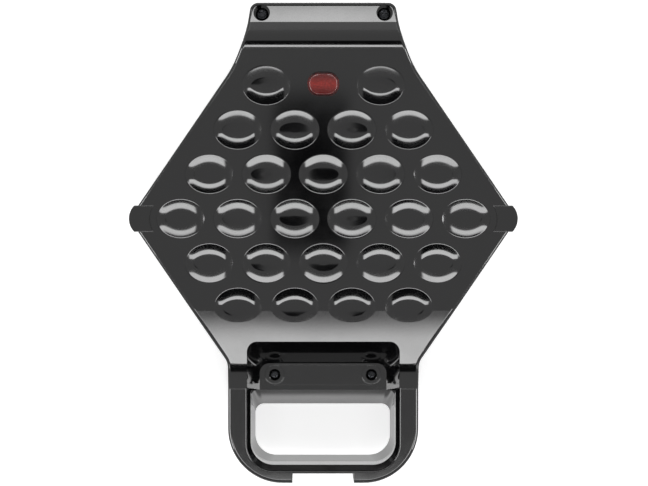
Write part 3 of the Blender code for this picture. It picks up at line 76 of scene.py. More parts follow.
def carve(target, tool, operation="DIFFERENCE"):
    """Cut a target with a tool, or join or intersect them, and throw the tool away."""
    apply_modifier(target, "BOOLEAN", object=tool, operation=operation, solver="EXACT")
    bpy.data.objects.remove(tool)


def joined(name, things):
    """Join several objects into one."""
    select_only(*things)
    bpy.ops.object.join()
    result = bpy.context.object
    result.name = name
    return result


# %% Edges and faces picked by their place
def pick(thing, kind, test):
    """Go into edit mode and select the edges or faces that pass a test."""
    select_only(thing)
    bpy.ops.object.mode_set(mode="EDIT")
    bpy.ops.mesh.select_mode(type=kind)
    bpy.ops.mesh.select_all(action="DESELECT")
    mesh = bmesh.from_edit_mesh(thing.data)
    mesh.normal_update()
    members = mesh.edges if kind == "EDGE" else mesh.faces
    count = 0
    for member in members:
        if test(member):
            member.select_set(True)
            count += 1
    bmesh.update_edit_mesh(thing.data)
    return count


def round_off(thing, test, width, segments=3):
    """Bevel the edges that pass a test."""
    count = pick(thing, "EDGE", test)
    if count:
        bpy.ops.mesh.bevel(offset=width, offset_type="OFFSET", segments=segments, profile=0.5,
                           affect="EDGES", clamp_overlap=True, loop_slide=False)
    bpy.ops.object.mode_set(mode="OBJECT")
    print(thing.name, "rounded", count, "edges")


def middle(edge):
    """Middle of an edge."""
    return (edge.verts[0].co + edge.verts[1].co) / 2


def bend(edge):
    """Angle between an edge's two faces, in degrees."""
    return math.degrees(edge.calc_face_angle(0.0)) if len(edge.link_faces) == 2 else 0.0


def rim_at(level, least=60):
    """Test for convex edges that lie at a level and turn by more than an angle."""
    return lambda edge: (bend(edge) > least and edge.is_convex
                         and all(abs(corner.co.z - level) < 1e-5 for corner in edge.verts))


# %% [markdown]
# ## Outlines
#
# Every outline is a list of corners with a radius, as on a drawing. A corner's arc is divided
# finely here, one point every few degrees, because gloss shows each facet. A solid is a stack of
# such outlines, so prisms, blocks and turned parts are all made by the one function below.

# %% Round corners
ARC_STEP = math.radians(4)


def turn_at(points, index):
    """Direction of the way into a corner, and how far the way turns there."""
    (x0, y0), (x, y), (x1, y1) = [points[i % len(points)][:2]
                                  for i in (index - 1, index, index + 1)]
    into, out = math.atan2(y - y0, x - x0), math.atan2(y1 - y, x1 - x)
    return into, (out - into + math.pi) % (2 * math.pi) - math.pi


def rounded(corners, step=ARC_STEP):
    """Turn corners of (x, y, radius) into a closed outline with an arc at each round corner."""
    points = []
    for index, (x, y, radius) in enumerate(corners):
        into, turn = turn_at(corners, index)
        if radius == 0 or turn == 0:
            points.append((x, y))
            continue
        reach = radius * math.tan(abs(turn) / 2)
        side = 1 if turn > 0 else -1
        cx = x - reach * math.cos(into) - side * radius * math.sin(into)
        cy = y - reach * math.sin(into) + side * radius * math.cos(into)
        count = max(1, round(abs(turn) / step))
        for number in range(count + 1):
            angle = into - side * math.pi / 2 + turn * number / count
            points.append((cx + radius * math.cos(angle), cy + radius * math.sin(angle)))
    return points


def moved_out(points, distance):
    """Move a counterclockwise outline outwards, or inwards where distance is negative."""
    result = []
    for index, (x, y) in enumerate(points):
        into, turn = turn_at(points, index)
        normal = into + turn / 2 - math.pi / 2
        reach = distance / math.cos(turn / 2)
        result.append((x + reach * math.cos(normal), y + reach * math.sin(normal)))
    return result


def mirrored(corners):
    """Complete a right half, given from front to rear, with its left half."""
    return corners + [(-x, y, radius) for x, y, radius in reversed(corners)]


def quarter_round(radius, angles):
    """(inward, down) from the corner to points of its quarter round, at angles in degrees."""
    return [(radius * (1 - math.cos(turn)), radius * (1 - math.sin(turn)))
            for turn in map(math.radians, angles)]


def ellipse(x, y, half_x, half_y, sides=48):
    """Points of an ellipse round a centre."""
    turns = [2 * math.pi * side / sides for side in range(sides)]
    return [(x + half_x * math.cos(turn), y + half_y * math.sin(turn)) for turn in turns]


def at_level(outline, z):
    """Lay a flat outline at a level."""
    return [(x, y, z) for x, y in outline]


# %% A solid from sections
def new_solid(name, sections):
    """Set a circle's corners on the first section, and extrude it from section to section."""
    if bpy.context.object:
        select_only()
    bpy.ops.mesh.primitive_circle_add(vertices=len(sections[0]), fill_type="NGON",
                                      location=(0, 0, 0))
    solid = bpy.context.object
    solid.name = name
    bpy.ops.object.mode_set(mode="EDIT")
    bpy.ops.mesh.select_mode(type="FACE")
    mesh = bmesh.from_edit_mesh(solid.data)
    mesh.faces.ensure_lookup_table()
    for corner, point in zip(mesh.faces[0].verts, sections[0]):
        corner.co = point
    bmesh.update_edit_mesh(solid.data)
    for before, after in zip(sections, sections[1:]):
        bpy.ops.mesh.extrude_region_move(TRANSFORM_OT_translate={"value": (0, 0, 0)})
        mesh = bmesh.from_edit_mesh(solid.data)
        face = next(face for face in mesh.faces if face.select)
        first = face.verts[0].co
        start = min(range(len(before)), key=lambda i: (first - Vector(before[i])).length)
        follow = (face.verts[1].co - Vector(before[(start + 1) % len(before)])).length
        against = (face.verts[1].co - Vector(before[start - 1])).length
        way = 1 if follow <= against else -1
        for number, corner in enumerate(list(face.verts)):
            corner.co = after[(start + way * number) % len(after)]
        bmesh.update_edit_mesh(solid.data)
    bpy.ops.mesh.select_all(action="SELECT")
    bpy.ops.mesh.normals_make_consistent(inside=False)
    bpy.ops.object.mode_set(mode="OBJECT")
    return solid


def prism(name, outline, low, high):
    """Flat outline between two levels."""
    return new_solid(name, [at_level(outline, low), at_level(outline, high)])


def block(name, lows, highs):
    """Block between two corners."""
    corners = [(lows[0], lows[1]), (highs[0], lows[1]), (highs[0], highs[1]), (lows[0], highs[1])]
    return prism(name, corners, lows[2], highs[2])


def crosswise(name, outline, half):
    """(y, z) outline extruded to both sides of the middle."""
    return new_solid(name, [[(x, y, z) for y, z in outline] for x in (-half, half)])


def turned(name, x, y, steps, sides=48):
    """Turn (radius, z) steps about a vertical line."""
    return new_solid(name, [at_level(ellipse(x, y, radius, radius, sides), z)
                            for radius, z in steps])


def turned_across(name, y, z, steps, sides=48):
    """Turn (radius, x) steps about a line along X."""
    return new_solid(name, [[(x, *point) for point in ellipse(y, z, radius, radius, sides)]
                            for radius, x in steps])


def rod(name, y, z, radius, left, right, sides=48):
    """Round bar along X."""
    return turned_across(name, y, z, ((radius, left), (radius, right)), sides)


# %% Placing and finishing
def placed(thing, x, y, angle=0):
    """Turn a mesh about the vertical by degrees, then move it to its place."""
    thing.data.transform(Matrix.Translation((x, y, 0))
                         @ Matrix.Rotation(math.radians(angle), 4, "Z"))
    return thing


def spread(pattern, places):
    """Copy a pattern to its places, each copy with its own mesh, and join the copies."""
    copies = []
    for x, y in places:
        select_only(pattern)
        bpy.ops.object.duplicate()
        copies.append(placed(bpy.context.object, x, y))
    bpy.data.objects.remove(pattern)
    return joined("copies", copies)


def smooth(thing, angle=32):
    """Shade smooth below an angle, and let the large faces set the normals at their borders."""
    select_only(thing)
    bpy.ops.object.shade_smooth_by_angle(angle=math.radians(angle))
    apply_modifier(thing, "WEIGHTED_NORMAL", mode="FACE_AREA", weight=90, keep_sharp=True)


# %% [markdown]
# ## Sizes that the shells share
#
# They follow the engineering model's, in metres: the hexagon with its handle and neck, the lid's
# side profile, the pocket, the finger opening and the places of the dishes. Cutters reach a
# little past what they cut, and neighbouring pieces keep a fine gap.

# %% The shells' outline
FRONT_Y, REAR_Y = -0.1455, 0.1455
LID_TOP_Z, LID_LOW_Z, BASE_TOP_Z, BASE_LOW_Z = 0.0830, 0.04875, 0.04825, 0.0050
WALL, OVER, GAP, FINE_RADIUS = 0.0025, 0.0020, 0.0003, 0.0003
PROFILE_STEP = math.radians(2)
HEX_HALF, HEX_Y, HEX_ANGLE = 0.1167, 0.0146, math.radians(55.7)
HANDLE_HALF, NECK_Y = 0.0576, 0.1060


def hex_half_width(y):
    """Half the width between the hexagon's sloping sides at a depth."""
    return HEX_HALF - abs(y - HEX_Y) / math.tan(HEX_ANGLE)


def shell_outline():
    """Outline of the lid and the base: handle, hexagon and neck."""
    joint_y = HEX_Y - (HEX_HALF - HANDLE_HALF) * math.tan(HEX_ANGLE)
    return rounded(mirrored([
        (HANDLE_HALF, FRONT_Y, 0.0330), (HANDLE_HALF, joint_y, 0.0100), (HEX_HALF, HEX_Y, 0.0080),
        (hex_half_width(NECK_Y), NECK_Y, 0.0600), (0.0470, 0.1250, 0.0800),
        (0.0437, REAR_Y, 0.0050)]))


print("outline points:", len(shell_outline()))

# %% The lid's side profile
CREST_Y, CREST_RADIUS, CREST_ANGLE, CREST_RUN = -0.0395, 0.0120, math.radians(6.55), 0.0305
SHOULDER_RADIUS, SHOULDER_ANGLE, FOOT_RADIUS = 0.0300, math.radians(31), 0.0008
HANDLE_TOP_Z = LID_TOP_Z - 0.0107
BEND_Y, BEND_RADIUS = 0.1232, 0.0180
STRIP_Y, STRIP_Z, STRIP_TILT = 0.1336, 0.0729, math.radians(7)


def lid_profile(drop):
    """(y, z) outline under the lid's top, lowered by a drop along the whole top."""
    panel = math.atan2(LID_TOP_Z - STRIP_Z, STRIP_Y - BEND_Y)
    turn, tilt = SHOULDER_ANGLE - CREST_ANGLE, (SHOULDER_ANGLE + CREST_ANGLE) / 2
    run = CREST_RADIUS * math.tan(CREST_ANGLE / 2)
    reach = run + CREST_RUN + SHOULDER_RADIUS * math.tan(turn / 2)
    knee_y = CREST_Y - run - reach * math.cos(CREST_ANGLE)
    knee_z = LID_TOP_Z - reach * math.sin(CREST_ANGLE)
    foot_y = knee_y - (knee_z - HANDLE_TOP_Z) / math.tan(SHOULDER_ANGLE)
    shift = drop / math.cos(turn / 2)
    front, rear, floor = FRONT_Y - OVER, REAR_Y + OVER, LID_LOW_Z - WALL - OVER
    rear_z = STRIP_Z - (rear - STRIP_Y) * math.tan(STRIP_TILT)
    return rounded([
        (front, floor, 0), (rear, floor, 0), (rear, rear_z - drop / math.cos(STRIP_TILT), 0),
        (STRIP_Y - drop * math.tan((panel - STRIP_TILT) / 2) - drop * math.sin(STRIP_TILT),
         STRIP_Z - drop * math.cos(STRIP_TILT), 0),
        (BEND_Y - drop * math.tan(panel / 2), LID_TOP_Z - drop, BEND_RADIUS - drop),
        (CREST_Y - run + drop * math.tan(CREST_ANGLE / 2), LID_TOP_Z - drop, CREST_RADIUS - drop),
        (knee_y + shift * math.sin(tilt), knee_z - shift * math.cos(tilt), SHOULDER_RADIUS - drop),
        (foot_y + drop * math.tan(SHOULDER_ANGLE / 2), HANDLE_TOP_Z - drop, FOOT_RADIUS + drop),
        (front, HANDLE_TOP_Z - drop, 0)], PROFILE_STEP)


side_line = sorted((y, z) for y, z in lid_profile(0) if z > 0.06)


def top_z(y):
    """Height of the lid's top at a depth."""
    for (y0, z0), (y1, z1) in zip(side_line, side_line[1:]):
        if y0 <= y <= y1:
            return z0 + (z1 - z0) * (y - y0) / max(y1 - y0, 1e-9)
    return LID_TOP_Z


# %% The lid's form
def divided(outline, places):
    """The same outline, with further points where it crosses given depths."""
    result, least = [], 1e-4
    for (x0, y0), (x1, y1) in zip(outline, outline[1:] + outline[:1]):
        result.append((x0, y0))
        shares = sorted((y - y0) / (y1 - y0) for y in places
                        if min(y0, y1) + least < y < max(y0, y1) - least)
        result += [(x0 + (x1 - x0) * share, y0 + (y1 - y0) * share) for share in shares]
    return result


def lid_form(name, inset, drop, radius=0.0):
    """The lid's form, with a radius along its upper edge or moved in by a wall."""
    low = LID_LOW_Z - WALL - OVER if inset == 0 else LID_LOW_Z - OVER
    outline = moved_out(shell_outline(), -inset)
    if radius:
        outline = divided(outline, [y for y, z in side_line])
    sections = [at_level(outline, low)]
    if radius:
        for inward, down in quarter_round(radius, range(0, 90, 15)):
            ring = moved_out(outline, -inward)
            sections.append([(x, y, top_z(y) - down) for x, y in ring])
        outline = moved_out(outline, -radius)
        sections.append([(x, y, top_z(y) + 0.002 * radius) for x, y in outline])
    form = new_solid(name, sections + [at_level(outline, LID_TOP_Z + OVER)])
    carve(form, crosswise(name + "_side", lid_profile(drop), HEX_HALF + OVER), "INTERSECT")
    return form


# %% The dishes' places
DISH_PITCH_X, DISH_PITCH_Y, DISH_HALF_X, DISH_HALF_Y = 0.0342, 0.0267, 0.0148, 0.01235
LONGEST_ROW, LAST_ROW = 6, 3


def honeycomb(pitch_x, pitch_y):
    """Row number and centre of each place in rows of three, four, five, six, five, four, three."""
    places = []
    for row in range(-LAST_ROW, LAST_ROW + 1):
        count = LONGEST_ROW - abs(row)
        for place in range(count):
            places.append((row, pitch_x * (place - (count - 1) / 2), HEX_Y + pitch_y * row))
    return places


dish_places = [(x, y) for row, x, y in honeycomb(DISH_PITCH_X, DISH_PITCH_Y)
               if row != -LAST_ROW and not (row == LAST_ROW and abs(x) < DISH_HALF_X)]
print("dishes:", len(dish_places))

# %% [markdown]
# ## The lid's shell
#
# On the real cooker this is one injection moulding in high-gloss black ABS, with an even wall.
# It could be sculpted or subdivided, but its character lies in crisp planes that meet in small
# even radii. So it is cut as a toolmaker would cut it: an outline intersected with a side
# profile, hollowed by the same form moved in by one wall, then the recesses, then the radii.

# %% Outer form and its edge radius
LID_RADIUS = 0.0022
lid = lid_form("lid_shell", 0, 0, LID_RADIUS)
carve(lid, block("trim", (-0.2, -0.2, LID_LOW_Z - 0.02), (0.2, 0.2, LID_LOW_Z)))
print("lid faces:", len(lid.data.polygons))

# %% Ears on the hexagon's tips
def ear_outline(side):
    """Outline of the tab on one tip, hollowed round the outermost dish."""
    radius, half_depth, margin = 0.0114, 0.0079, 0.0038
    centre = HEX_HALF - radius
    arc = math.atan2(half_depth, (radius ** 2 - half_depth ** 2) ** 0.5)
    count = round(2 * arc / ARC_STEP)
    shares = [number / count for number in range(count + 1)]
    outer = [(centre + radius * math.cos(arc * (2 * share - 1)),
              HEX_Y + radius * math.sin(arc * (2 * share - 1))) for share in shares]
    half_x, half_y, dish_x = DISH_HALF_X + margin, DISH_HALF_Y + margin, DISH_PITCH_X * 2.5
    depths = [half_depth * (1 - 2 * share) for share in shares]
    outline = outer + [(dish_x + half_x * (1 - (depth / half_y) ** 2) ** 0.5, HEX_Y + depth)
                       for depth in depths]
    return outline if side > 0 else [(-x, y) for x, y in reversed(outline)]


def ears(name, low, high):
    """Both tabs between two levels, with a small chamfered rim."""
    pair = []
    for side in (-1, 1):
        outline = ear_outline(side)
        steps = [at_level(outline, low), at_level(outline, high - 0.0005),
                 at_level(moved_out(outline, -0.00015), high - 0.00015),
                 at_level(moved_out(outline, -0.0005), high)]
        pair.append(new_solid(name + str(side), steps))
    return joined(name, pair)


carve(lid, ears("ears", LID_LOW_Z, LID_TOP_Z + 0.0008), "UNION")

# %% Pocket and finger opening
POCKET_BACK, FLOOR_BACK, FLOOR_FRONT = -0.0578, -0.0737, -0.0898
POCKET_HALF, FLOOR_HALF, FLOOR_Z, KNEE_Z = 0.0460, 0.0387, 0.0600, 0.0715
POCKET_TOP_Z = LID_TOP_Z + OVER
LIP = 0.0012
NOTCH_HALF, NOTCH_BACK = 0.0187, -0.1395


def rectangle(half, front, rear, front_radius, rear_radius):
    """Rectangle whose front and rear corners have their own radii."""
    return rounded(mirrored([(half, front, front_radius), (half, rear, rear_radius)]))


def pocket(name, grow):
    """Pocket behind the finger opening, or the same pocket grown by a wall."""
    slope = (POCKET_BACK - FLOOR_BACK) / (LID_TOP_Z - FLOOR_Z)
    sections = []
    for half, z in ((FLOOR_HALF, FLOOR_Z), (POCKET_HALF, KNEE_Z), (POCKET_HALF, POCKET_TOP_Z)):
        back = FLOOR_BACK + (z - FLOOR_Z) * slope
        lift = grow if z == FLOOR_Z else 0
        outline = rectangle(half + grow, FLOOR_FRONT - grow, back + grow, 0, 0.0060 + grow)
        sections.append(at_level(outline, z - lift))
    return new_solid(name, sections)


def lid_grip(name, grow):
    """Finger opening through the lid's handle, flaring to a lip and tapering downwards."""
    wide = (POCKET_HALF + 0.0002, -0.1377, FLOOR_FRONT + OVER, 0.0160)
    deep, low = (0.0440, -0.1347, FLOOR_FRONT, 0.0140), (0.0440, -0.1347, -0.0903, 0.0130)
    sections = []
    for (half, front, back, radius), z in (
            (low, LID_LOW_Z - OVER), (low, LID_LOW_Z), (deep, FLOOR_Z + 0.0003),
            (deep, KNEE_Z - 0.0034), (wide, HANDLE_TOP_Z - LIP)):
        outline = rectangle(half + grow, front - grow, back + grow, radius + grow,
                            FINE_RADIUS + grow)
        sections.append(at_level(outline, z))
    half, front, back, radius = wide
    for flare, down in quarter_round(LIP, range(15, 91, 15)):
        flare += grow
        outline = rectangle(half + flare, front - flare, back + grow, radius + flare,
                            FINE_RADIUS + grow)
        sections.append(at_level(outline, HANDLE_TOP_Z - down))
    sections.append(at_level(outline, LID_TOP_Z))
    return new_solid(name, sections)


def notch(name, low, high, grow):
    """Notch at the front that the latch swings in."""
    return block(name, (-NOTCH_HALF - grow, FRONT_Y - OVER, low),
                 (NOTCH_HALF + grow, NOTCH_BACK + grow, high))


# %% Hollow inside
hollow = lid_form("lid_hollow", WALL, WALL)
carve(hollow, pocket("pocket_wall", WALL))
carve(hollow, lid_grip("grip_wall", WALL))
carve(hollow, notch("notch_wall", LID_LOW_Z - 0.01, LID_TOP_Z + OVER, WALL))
carve(lid, hollow)
print("hollowed:", len(lid.data.polygons))

# %% Recesses on top
carve(lid, pocket("pocket", 0))
carve(lid, lid_grip("grip", 0))
carve(lid, notch("notch", LID_LOW_Z - 0.01, LID_TOP_Z + OVER, 0))
print("with recesses:", len(lid.data.polygons))

# %% Dishes
DISH_SLOPES = ((0.0, 0.0), (0.10, 16.6), (0.20, 16.2), (0.40, 14.4), (0.56, 12.3), (0.72, 10.3),
               (0.90, 3.8))
SHRINK_X, SHRINK_Y, DISH_SIDES, LONGEST_STEP = 0.42, 0.75, 72, 0.075


def dish(name):
    """Cutter for one dish: ellipses that shrink downwards along a wall of changing slope."""
    steps, inward, level = [(0.0, -OVER)], 0.0, 0.0
    for (start, shallow), (end, steep) in zip(DISH_SLOPES, DISH_SLOPES[1:]):
        count = math.ceil((end - start) / LONGEST_STEP) + 2
        for part in range(count):
            steps.append((inward, level))
            angle = math.radians(shallow + (steep - shallow) * (part + 0.5) / count)
            inward += (end - start) / count
            level += SHRINK_Y * DISH_HALF_Y * math.tan(angle) * (end - start) / count
    steps.append((inward, level))
    rings = [(1 - SHRINK_X * inward, 1 - SHRINK_Y * inward, level) for inward, level in steps]
    wide, deep, level = rings[-1]
    bowl = 0.5 * deep * DISH_HALF_Y * math.tan(math.radians(DISH_SLOPES[-1][1]))
    rings += [(wide * share, deep * share, level + bowl * (1 - share ** 2))
              for share in (0.75, 0.5, 0.25)]
    return new_solid(name, [
        at_level(ellipse(0, 0, DISH_HALF_X * wide, DISH_HALF_Y * deep, DISH_SIDES),
                 LID_TOP_Z - level) for wide, deep, level in rings])


# The top is one huge face. Cut between the rows, each strip holds few holes and stays clean.
select_only(lid)
bpy.ops.object.mode_set(mode="EDIT")
for line in range(-LAST_ROW, LAST_ROW + 1):
    bpy.ops.mesh.select_all(action="SELECT")
    bpy.ops.mesh.bisect(plane_co=(0, HEX_Y + (line + 0.5) * DISH_PITCH_Y, 0), plane_no=(0, 1, 0))
bpy.ops.object.mode_set(mode="OBJECT")
carve(lid, spread(dish("dish"), dish_places))
print("with dishes:", len(lid.data.polygons))

# %% [markdown]
# ## Wells, bosses and the lens opening
#
# The two bosses in the pocket stand up from its floor as rings, with a raised panel between
# them. The strip over the hinge has two plain wells. Each is a turned form. The rims in the
# lid's top get a small radius, so that they catch a thin line of light.

# %% Wells and bosses
POCKET_SCREW, STRIP_SCREW, SCREW_BORE = (0.0295, -0.0806), (0.0372, 0.1392), 0.0018
panel = block("panel", (-0.0300, -0.0872, 0.0590), (0.0300, -0.0745, 0.0606))
round_off(panel, lambda edge: middle(edge).z > 0.0605, FINE_RADIUS, 2)
carve(lid, panel, "UNION")
for side in (-1, 1):
    x, y = side * POCKET_SCREW[0], POCKET_SCREW[1]
    ring = turned("boss", x, y, ((0.0060, 0.0570), (0.0060, 0.0616), (0.00588, 0.0619),
                                 (0.0056, 0.0620), (0.0038, 0.0620)))
    for angle in (45, 135, 225, 315):
        rib = block("rib", (0.0050, -0.0004, 0.0590), (0.0076, 0.0004, 0.0612))
        carve(ring, placed(rib, x, y, angle), "UNION")
    carve(lid, ring, "UNION")
    carve(lid, turned("well", x, y, ((SCREW_BORE, 0.0480), (SCREW_BORE, 0.0568),
                                     (0.00325, 0.0568), (0.00325, 0.0617), (0.0038, 0.0622))))
    x, y = side * STRIP_SCREW[0], STRIP_SCREW[1]
    carve(lid, turned("strip_boss", x, y, ((0.0062, 0.0563), (0.0062, 0.0700))), "UNION")
    carve(lid, turned("strip_well", x, y, ((SCREW_BORE, 0.0540), (SCREW_BORE, 0.0600),
                                           (0.0050, 0.0600), (0.0050, 0.0800))))
print("with wells:", len(lid.data.polygons))

# %% The lens opening and the catch's slot
LENS_Y, LENS_HALF_X, LENS_HALF_Y, LENS_CORNER, LENS_GAP = 0.0954, 0.00855, 0.00645, 0.0058, 0.0010


def lens_outline(grow):
    """Rounded outline of the indicator's lens."""
    signs = ((1, -1), (1, 1), (-1, 1), (-1, -1))
    return moved_out(rounded([(sx * LENS_HALF_X, LENS_Y + sy * LENS_HALF_Y, LENS_CORNER)
                              for sx, sy in signs]), grow)


carve(lid, prism("lens_hole", lens_outline(LENS_GAP), LID_TOP_Z - 0.006, LID_TOP_Z + OVER))
carve(lid, block("catch_slot", (-0.0186, -0.1415, 0.0625), (0.0186, -0.1379, 0.0656)))

# %% Radii on the rims
RECESS_RADIUS = 0.0013


def on_top(edge, within=0.00015):
    """True where an edge lies in the lid's top."""
    return all(abs(corner.co.z - top_z(corner.co.y)) < within for corner in edge.verts)


def is_dish_rim(edge):
    """Edge between the top and a dish. A dish brings its own soft rim, so it gets no radius."""
    if bend(edge) < 4 or not on_top(edge):
        return False
    spot = middle(edge)
    return any(abs(((spot.x - x) / DISH_HALF_X) ** 2 + ((spot.y - y) / DISH_HALF_Y) ** 2 - 1) < 0.02
               for x, y in dish_places)


def is_recess_rim(edge):
    """Edge where the pocket, the finger opening, the notch or the lens opening breaks out."""
    return bend(edge) > 40 and edge.is_convex and on_top(edge) and not is_dish_rim(edge)


round_off(lid, is_recess_rim, RECESS_RADIUS, 4)
round_off(lid, rim_at(LID_LOW_Z), FINE_RADIUS, 2)
smooth(lid)
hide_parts("lid_cover")
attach(lid, "lid")
print("lid faces:", len(lid.data.polygons))

# %% [markdown]
# ## The base's shell
#
# The lower shell is the lid's partner: the same outline, a flat underside that rises in a belly
# under the handle and in a chamfer under the hinge, and an even wall. It is made the same way,
# and then gets the hinge lugs, the posts for the screws, the vents and the holes.

# %% The base's side profile
BELLY_Y, BELLY_RADIUS, BELLY_FOOT, BELLY_ANGLE = -0.0430, 0.0330, 0.0120, math.radians(60)
TAIL_Y, TAIL_RADIUS, TAIL_ANGLE, BASE_REAR_Y = 0.1060, 0.0150, math.radians(42), 0.1250
BELLY_STEP = math.radians(3)
HANDLE_LOW_Z = BASE_LOW_Z + (BELLY_RADIUS + BELLY_FOOT) * (1 - math.cos(BELLY_ANGLE))


def base_profile(rise):
    """(y, z) outline above the base's underside, raised by a rise along the whole underside."""
    corner_y = BELLY_Y - BELLY_RADIUS * math.tan(BELLY_ANGLE / 2)
    foot_y = corner_y - (HANDLE_LOW_Z - BASE_LOW_Z) / math.tan(BELLY_ANGLE)
    inset = rise * math.tan(BELLY_ANGLE / 2)
    tail_y = TAIL_Y + (TAIL_RADIUS - rise) * math.tan(TAIL_ANGLE / 2)
    front, rear, roof = FRONT_Y - OVER, BASE_REAR_Y + OVER, BASE_TOP_Z + WALL + OVER
    return rounded([
        (front, HANDLE_LOW_Z + rise, 0), (foot_y + inset, HANDLE_LOW_Z + rise, BELLY_FOOT + rise),
        (corner_y + inset, BASE_LOW_Z + rise, BELLY_RADIUS - rise),
        (tail_y, BASE_LOW_Z + rise, TAIL_RADIUS - rise),
        (rear, BASE_LOW_Z + rise + (rear - tail_y) * math.tan(TAIL_ANGLE), 0),
        (rear, roof, 0), (front, roof, 0)], BELLY_STEP)


def clipped(points, front, rear):
    """Cut an outline off at two depths."""
    for limit, side in ((front, 1), (rear, -1)):
        kept = []
        for index, point in enumerate(points):
            before = points[index - 1]
            inside = side * (point[1] - limit) >= 0
            was_inside = side * (before[1] - limit) >= 0
            if inside != was_inside:
                share = (limit - before[1]) / (point[1] - before[1])
                kept.append((before[0] + share * (point[0] - before[0]), limit))
            if inside:
                kept.append(point)
        points = kept
    return points


def base_form(name, inset, rise):
    """The base's outer form, or the same form moved in by a wall."""
    high = BASE_TOP_Z + (WALL if inset == 0 else 0) + OVER
    outline = clipped(moved_out(shell_outline(), -inset), FRONT_Y - OVER, BASE_REAR_Y - inset)
    form = prism(name, outline, BASE_LOW_Z - OVER, high)
    carve(form, crosswise(name + "_side", base_profile(rise), HEX_HALF + OVER), "INTERSECT")
    return form


# %% Outer form, its edge radius and the ears
base = base_form("base_shell", 0, 0)


def is_base_rim(edge):
    """Convex edge between a wall and the underside."""
    if bend(edge) < 35 or not edge.is_convex:
        return False
    up = sorted(abs(face.normal.z) for face in edge.link_faces)
    return up[0] < 0.2 and up[1] > 0.45 and middle(edge).z < BASE_TOP_Z


round_off(base, is_base_rim, 0.0035, 5)
carve(base, block("trim", (-0.2, -0.2, BASE_TOP_Z), (0.2, 0.2, BASE_TOP_Z + 0.02)))
carve(base, joined("base_ears", [prism("ear" + str(side), ear_outline(side), 0.0300, BASE_TOP_Z)
                                 for side in (-1, 1)]), "UNION")
print("base faces:", len(base.data.polygons))

# %% Hollow inside, with the posts left standing
BOSS_DEPTH, REFLECTOR_BACK, BOSS_RADIUS, POST_FOOT = 0.0159, 0.0264, 0.0040, 0.0060
POSTS = [(x, HEX_Y + y) for x in (-0.0450, 0.0450) for y in (-0.0320, 0.0320)]


def base_grip(name, grow):
    """Finger opening through the base's handle, tapering on down."""
    top_size, low_size = (0.0445, -0.1347, -0.0903), (0.0420, -0.1330, -0.1010)
    sections = []
    for (half, front, back), z in ((low_size, BASE_LOW_Z), (low_size, HANDLE_LOW_Z),
                                   (top_size, BASE_TOP_Z), (top_size, BASE_TOP_Z + OVER)):
        outline = rectangle(half + grow, front - grow, back + grow, 0.0130 + grow, 0.0055 + grow)
        sections.append(at_level(outline, z))
    return new_solid(name, sections)


hollow = base_form("base_hollow", WALL, WALL)
carve(hollow, base_grip("base_grip_wall", WALL))
carve(hollow, notch("base_notch_wall", BASE_LOW_Z, BASE_TOP_Z + 0.01, WALL))
collar, post_top = BASE_TOP_Z - REFLECTOR_BACK - GAP, BASE_TOP_Z - BOSS_DEPTH - GAP
post_steps = ((POST_FOOT, BASE_LOW_Z), (POST_FOOT, collar), (BOSS_RADIUS, collar),
              (BOSS_RADIUS, post_top))
carve(hollow, joined("base_posts", [turned("post", x, y, post_steps) for x, y in POSTS]))
carve(base, hollow)
carve(base, base_grip("base_grip", 0))
carve(base, notch("base_notch", BASE_LOW_Z, BASE_TOP_Z + 0.01, 0))
print("hollowed:", len(base.data.polygons))

# %% Hinge lugs
HINGE_Y, HINGE_Z, HINGE_BORE = 0.1355, 0.0485, 0.0023
LUG_INNER, LUG_OUTER, LUG_RADIUS = 0.0200, 0.0300, 0.0070
for side in (-1, 1):
    left, right = sorted((side * LUG_INNER, side * LUG_OUTER))
    carve(base, block("neck", (left, BASE_REAR_Y - WALL, 0.0415), (right, HINGE_Y, BASE_TOP_Z)),
          "UNION")
    carve(base, rod("lug", HINGE_Y, HINGE_Z, LUG_RADIUS, left, right), "UNION")
print("with lugs:", len(base.data.polygons))

# %% Holes: hinge and latch bores, screw wells, feet, cord inlet and vents
PIVOT_Y, PIVOT_Z, PIVOT_BORE, CORD_Z = -0.1412, 0.0440, 0.0011, 0.0340
VENTS, VENT_PITCH, VENT_X, VENT_HALF_X, VENT_HALF_Y = 5, 0.0070, 0.0640, 0.0140, 0.0015
FEET = [(x, y) for y in (-0.0300, 0.0800) for x in (-0.0480, 0.0480)]


def about_cord(name, steps):
    """Turn (radius, y) steps about the cord's axis."""
    return new_solid(name, [[(x, y, z) for x, z in ellipse(0, CORD_Z, radius, radius)]
                            for radius, y in steps])


tools = [rod("hinge_bore", HINGE_Y, HINGE_Z, HINGE_BORE, -0.05, 0.05),
         rod("latch_bore", PIVOT_Y, PIVOT_Z, PIVOT_BORE, -0.0232, 0.0232),
         about_cord("inlet_hole", ((0.0053, BASE_REAR_Y - 0.0045), (0.0053, BASE_REAR_Y + OVER)))]
tools += [turned("base_well", x, y, ((0.0036, 0.0030), (0.0036, 0.0160), (SCREW_BORE, 0.0160),
                                     (SCREW_BORE, post_top + 0.0005))) for x, y in POSTS]
tools += [turned("foot_hole", x, y, ((0.0033, 0.0030), (0.0033, 0.0095))) for x, y in FEET]
for side in (-1, 1):
    for slot in range(VENTS):
        y, x = HEX_Y + VENT_PITCH * (slot - 2), side * VENT_X
        corners = [(x + sx * VENT_HALF_X, y + sy * VENT_HALF_Y, 0.00148)
                   for sx, sy in ((-1, -1), (1, -1), (1, 1), (-1, 1))]
        tools.append(prism("vent", rounded(corners, math.radians(15)), 0.0030, 0.0095))
print("holes:", len(tools))
carve(base, joined("base_holes", tools))

# %% Radii on the base's rims
def is_grip_rim(edge):
    """Lower rim of the finger opening."""
    spot = middle(edge)
    return rim_at(HANDLE_LOW_Z, 45)(edge) and abs(spot.x) < 0.0430 and spot.y < -0.09


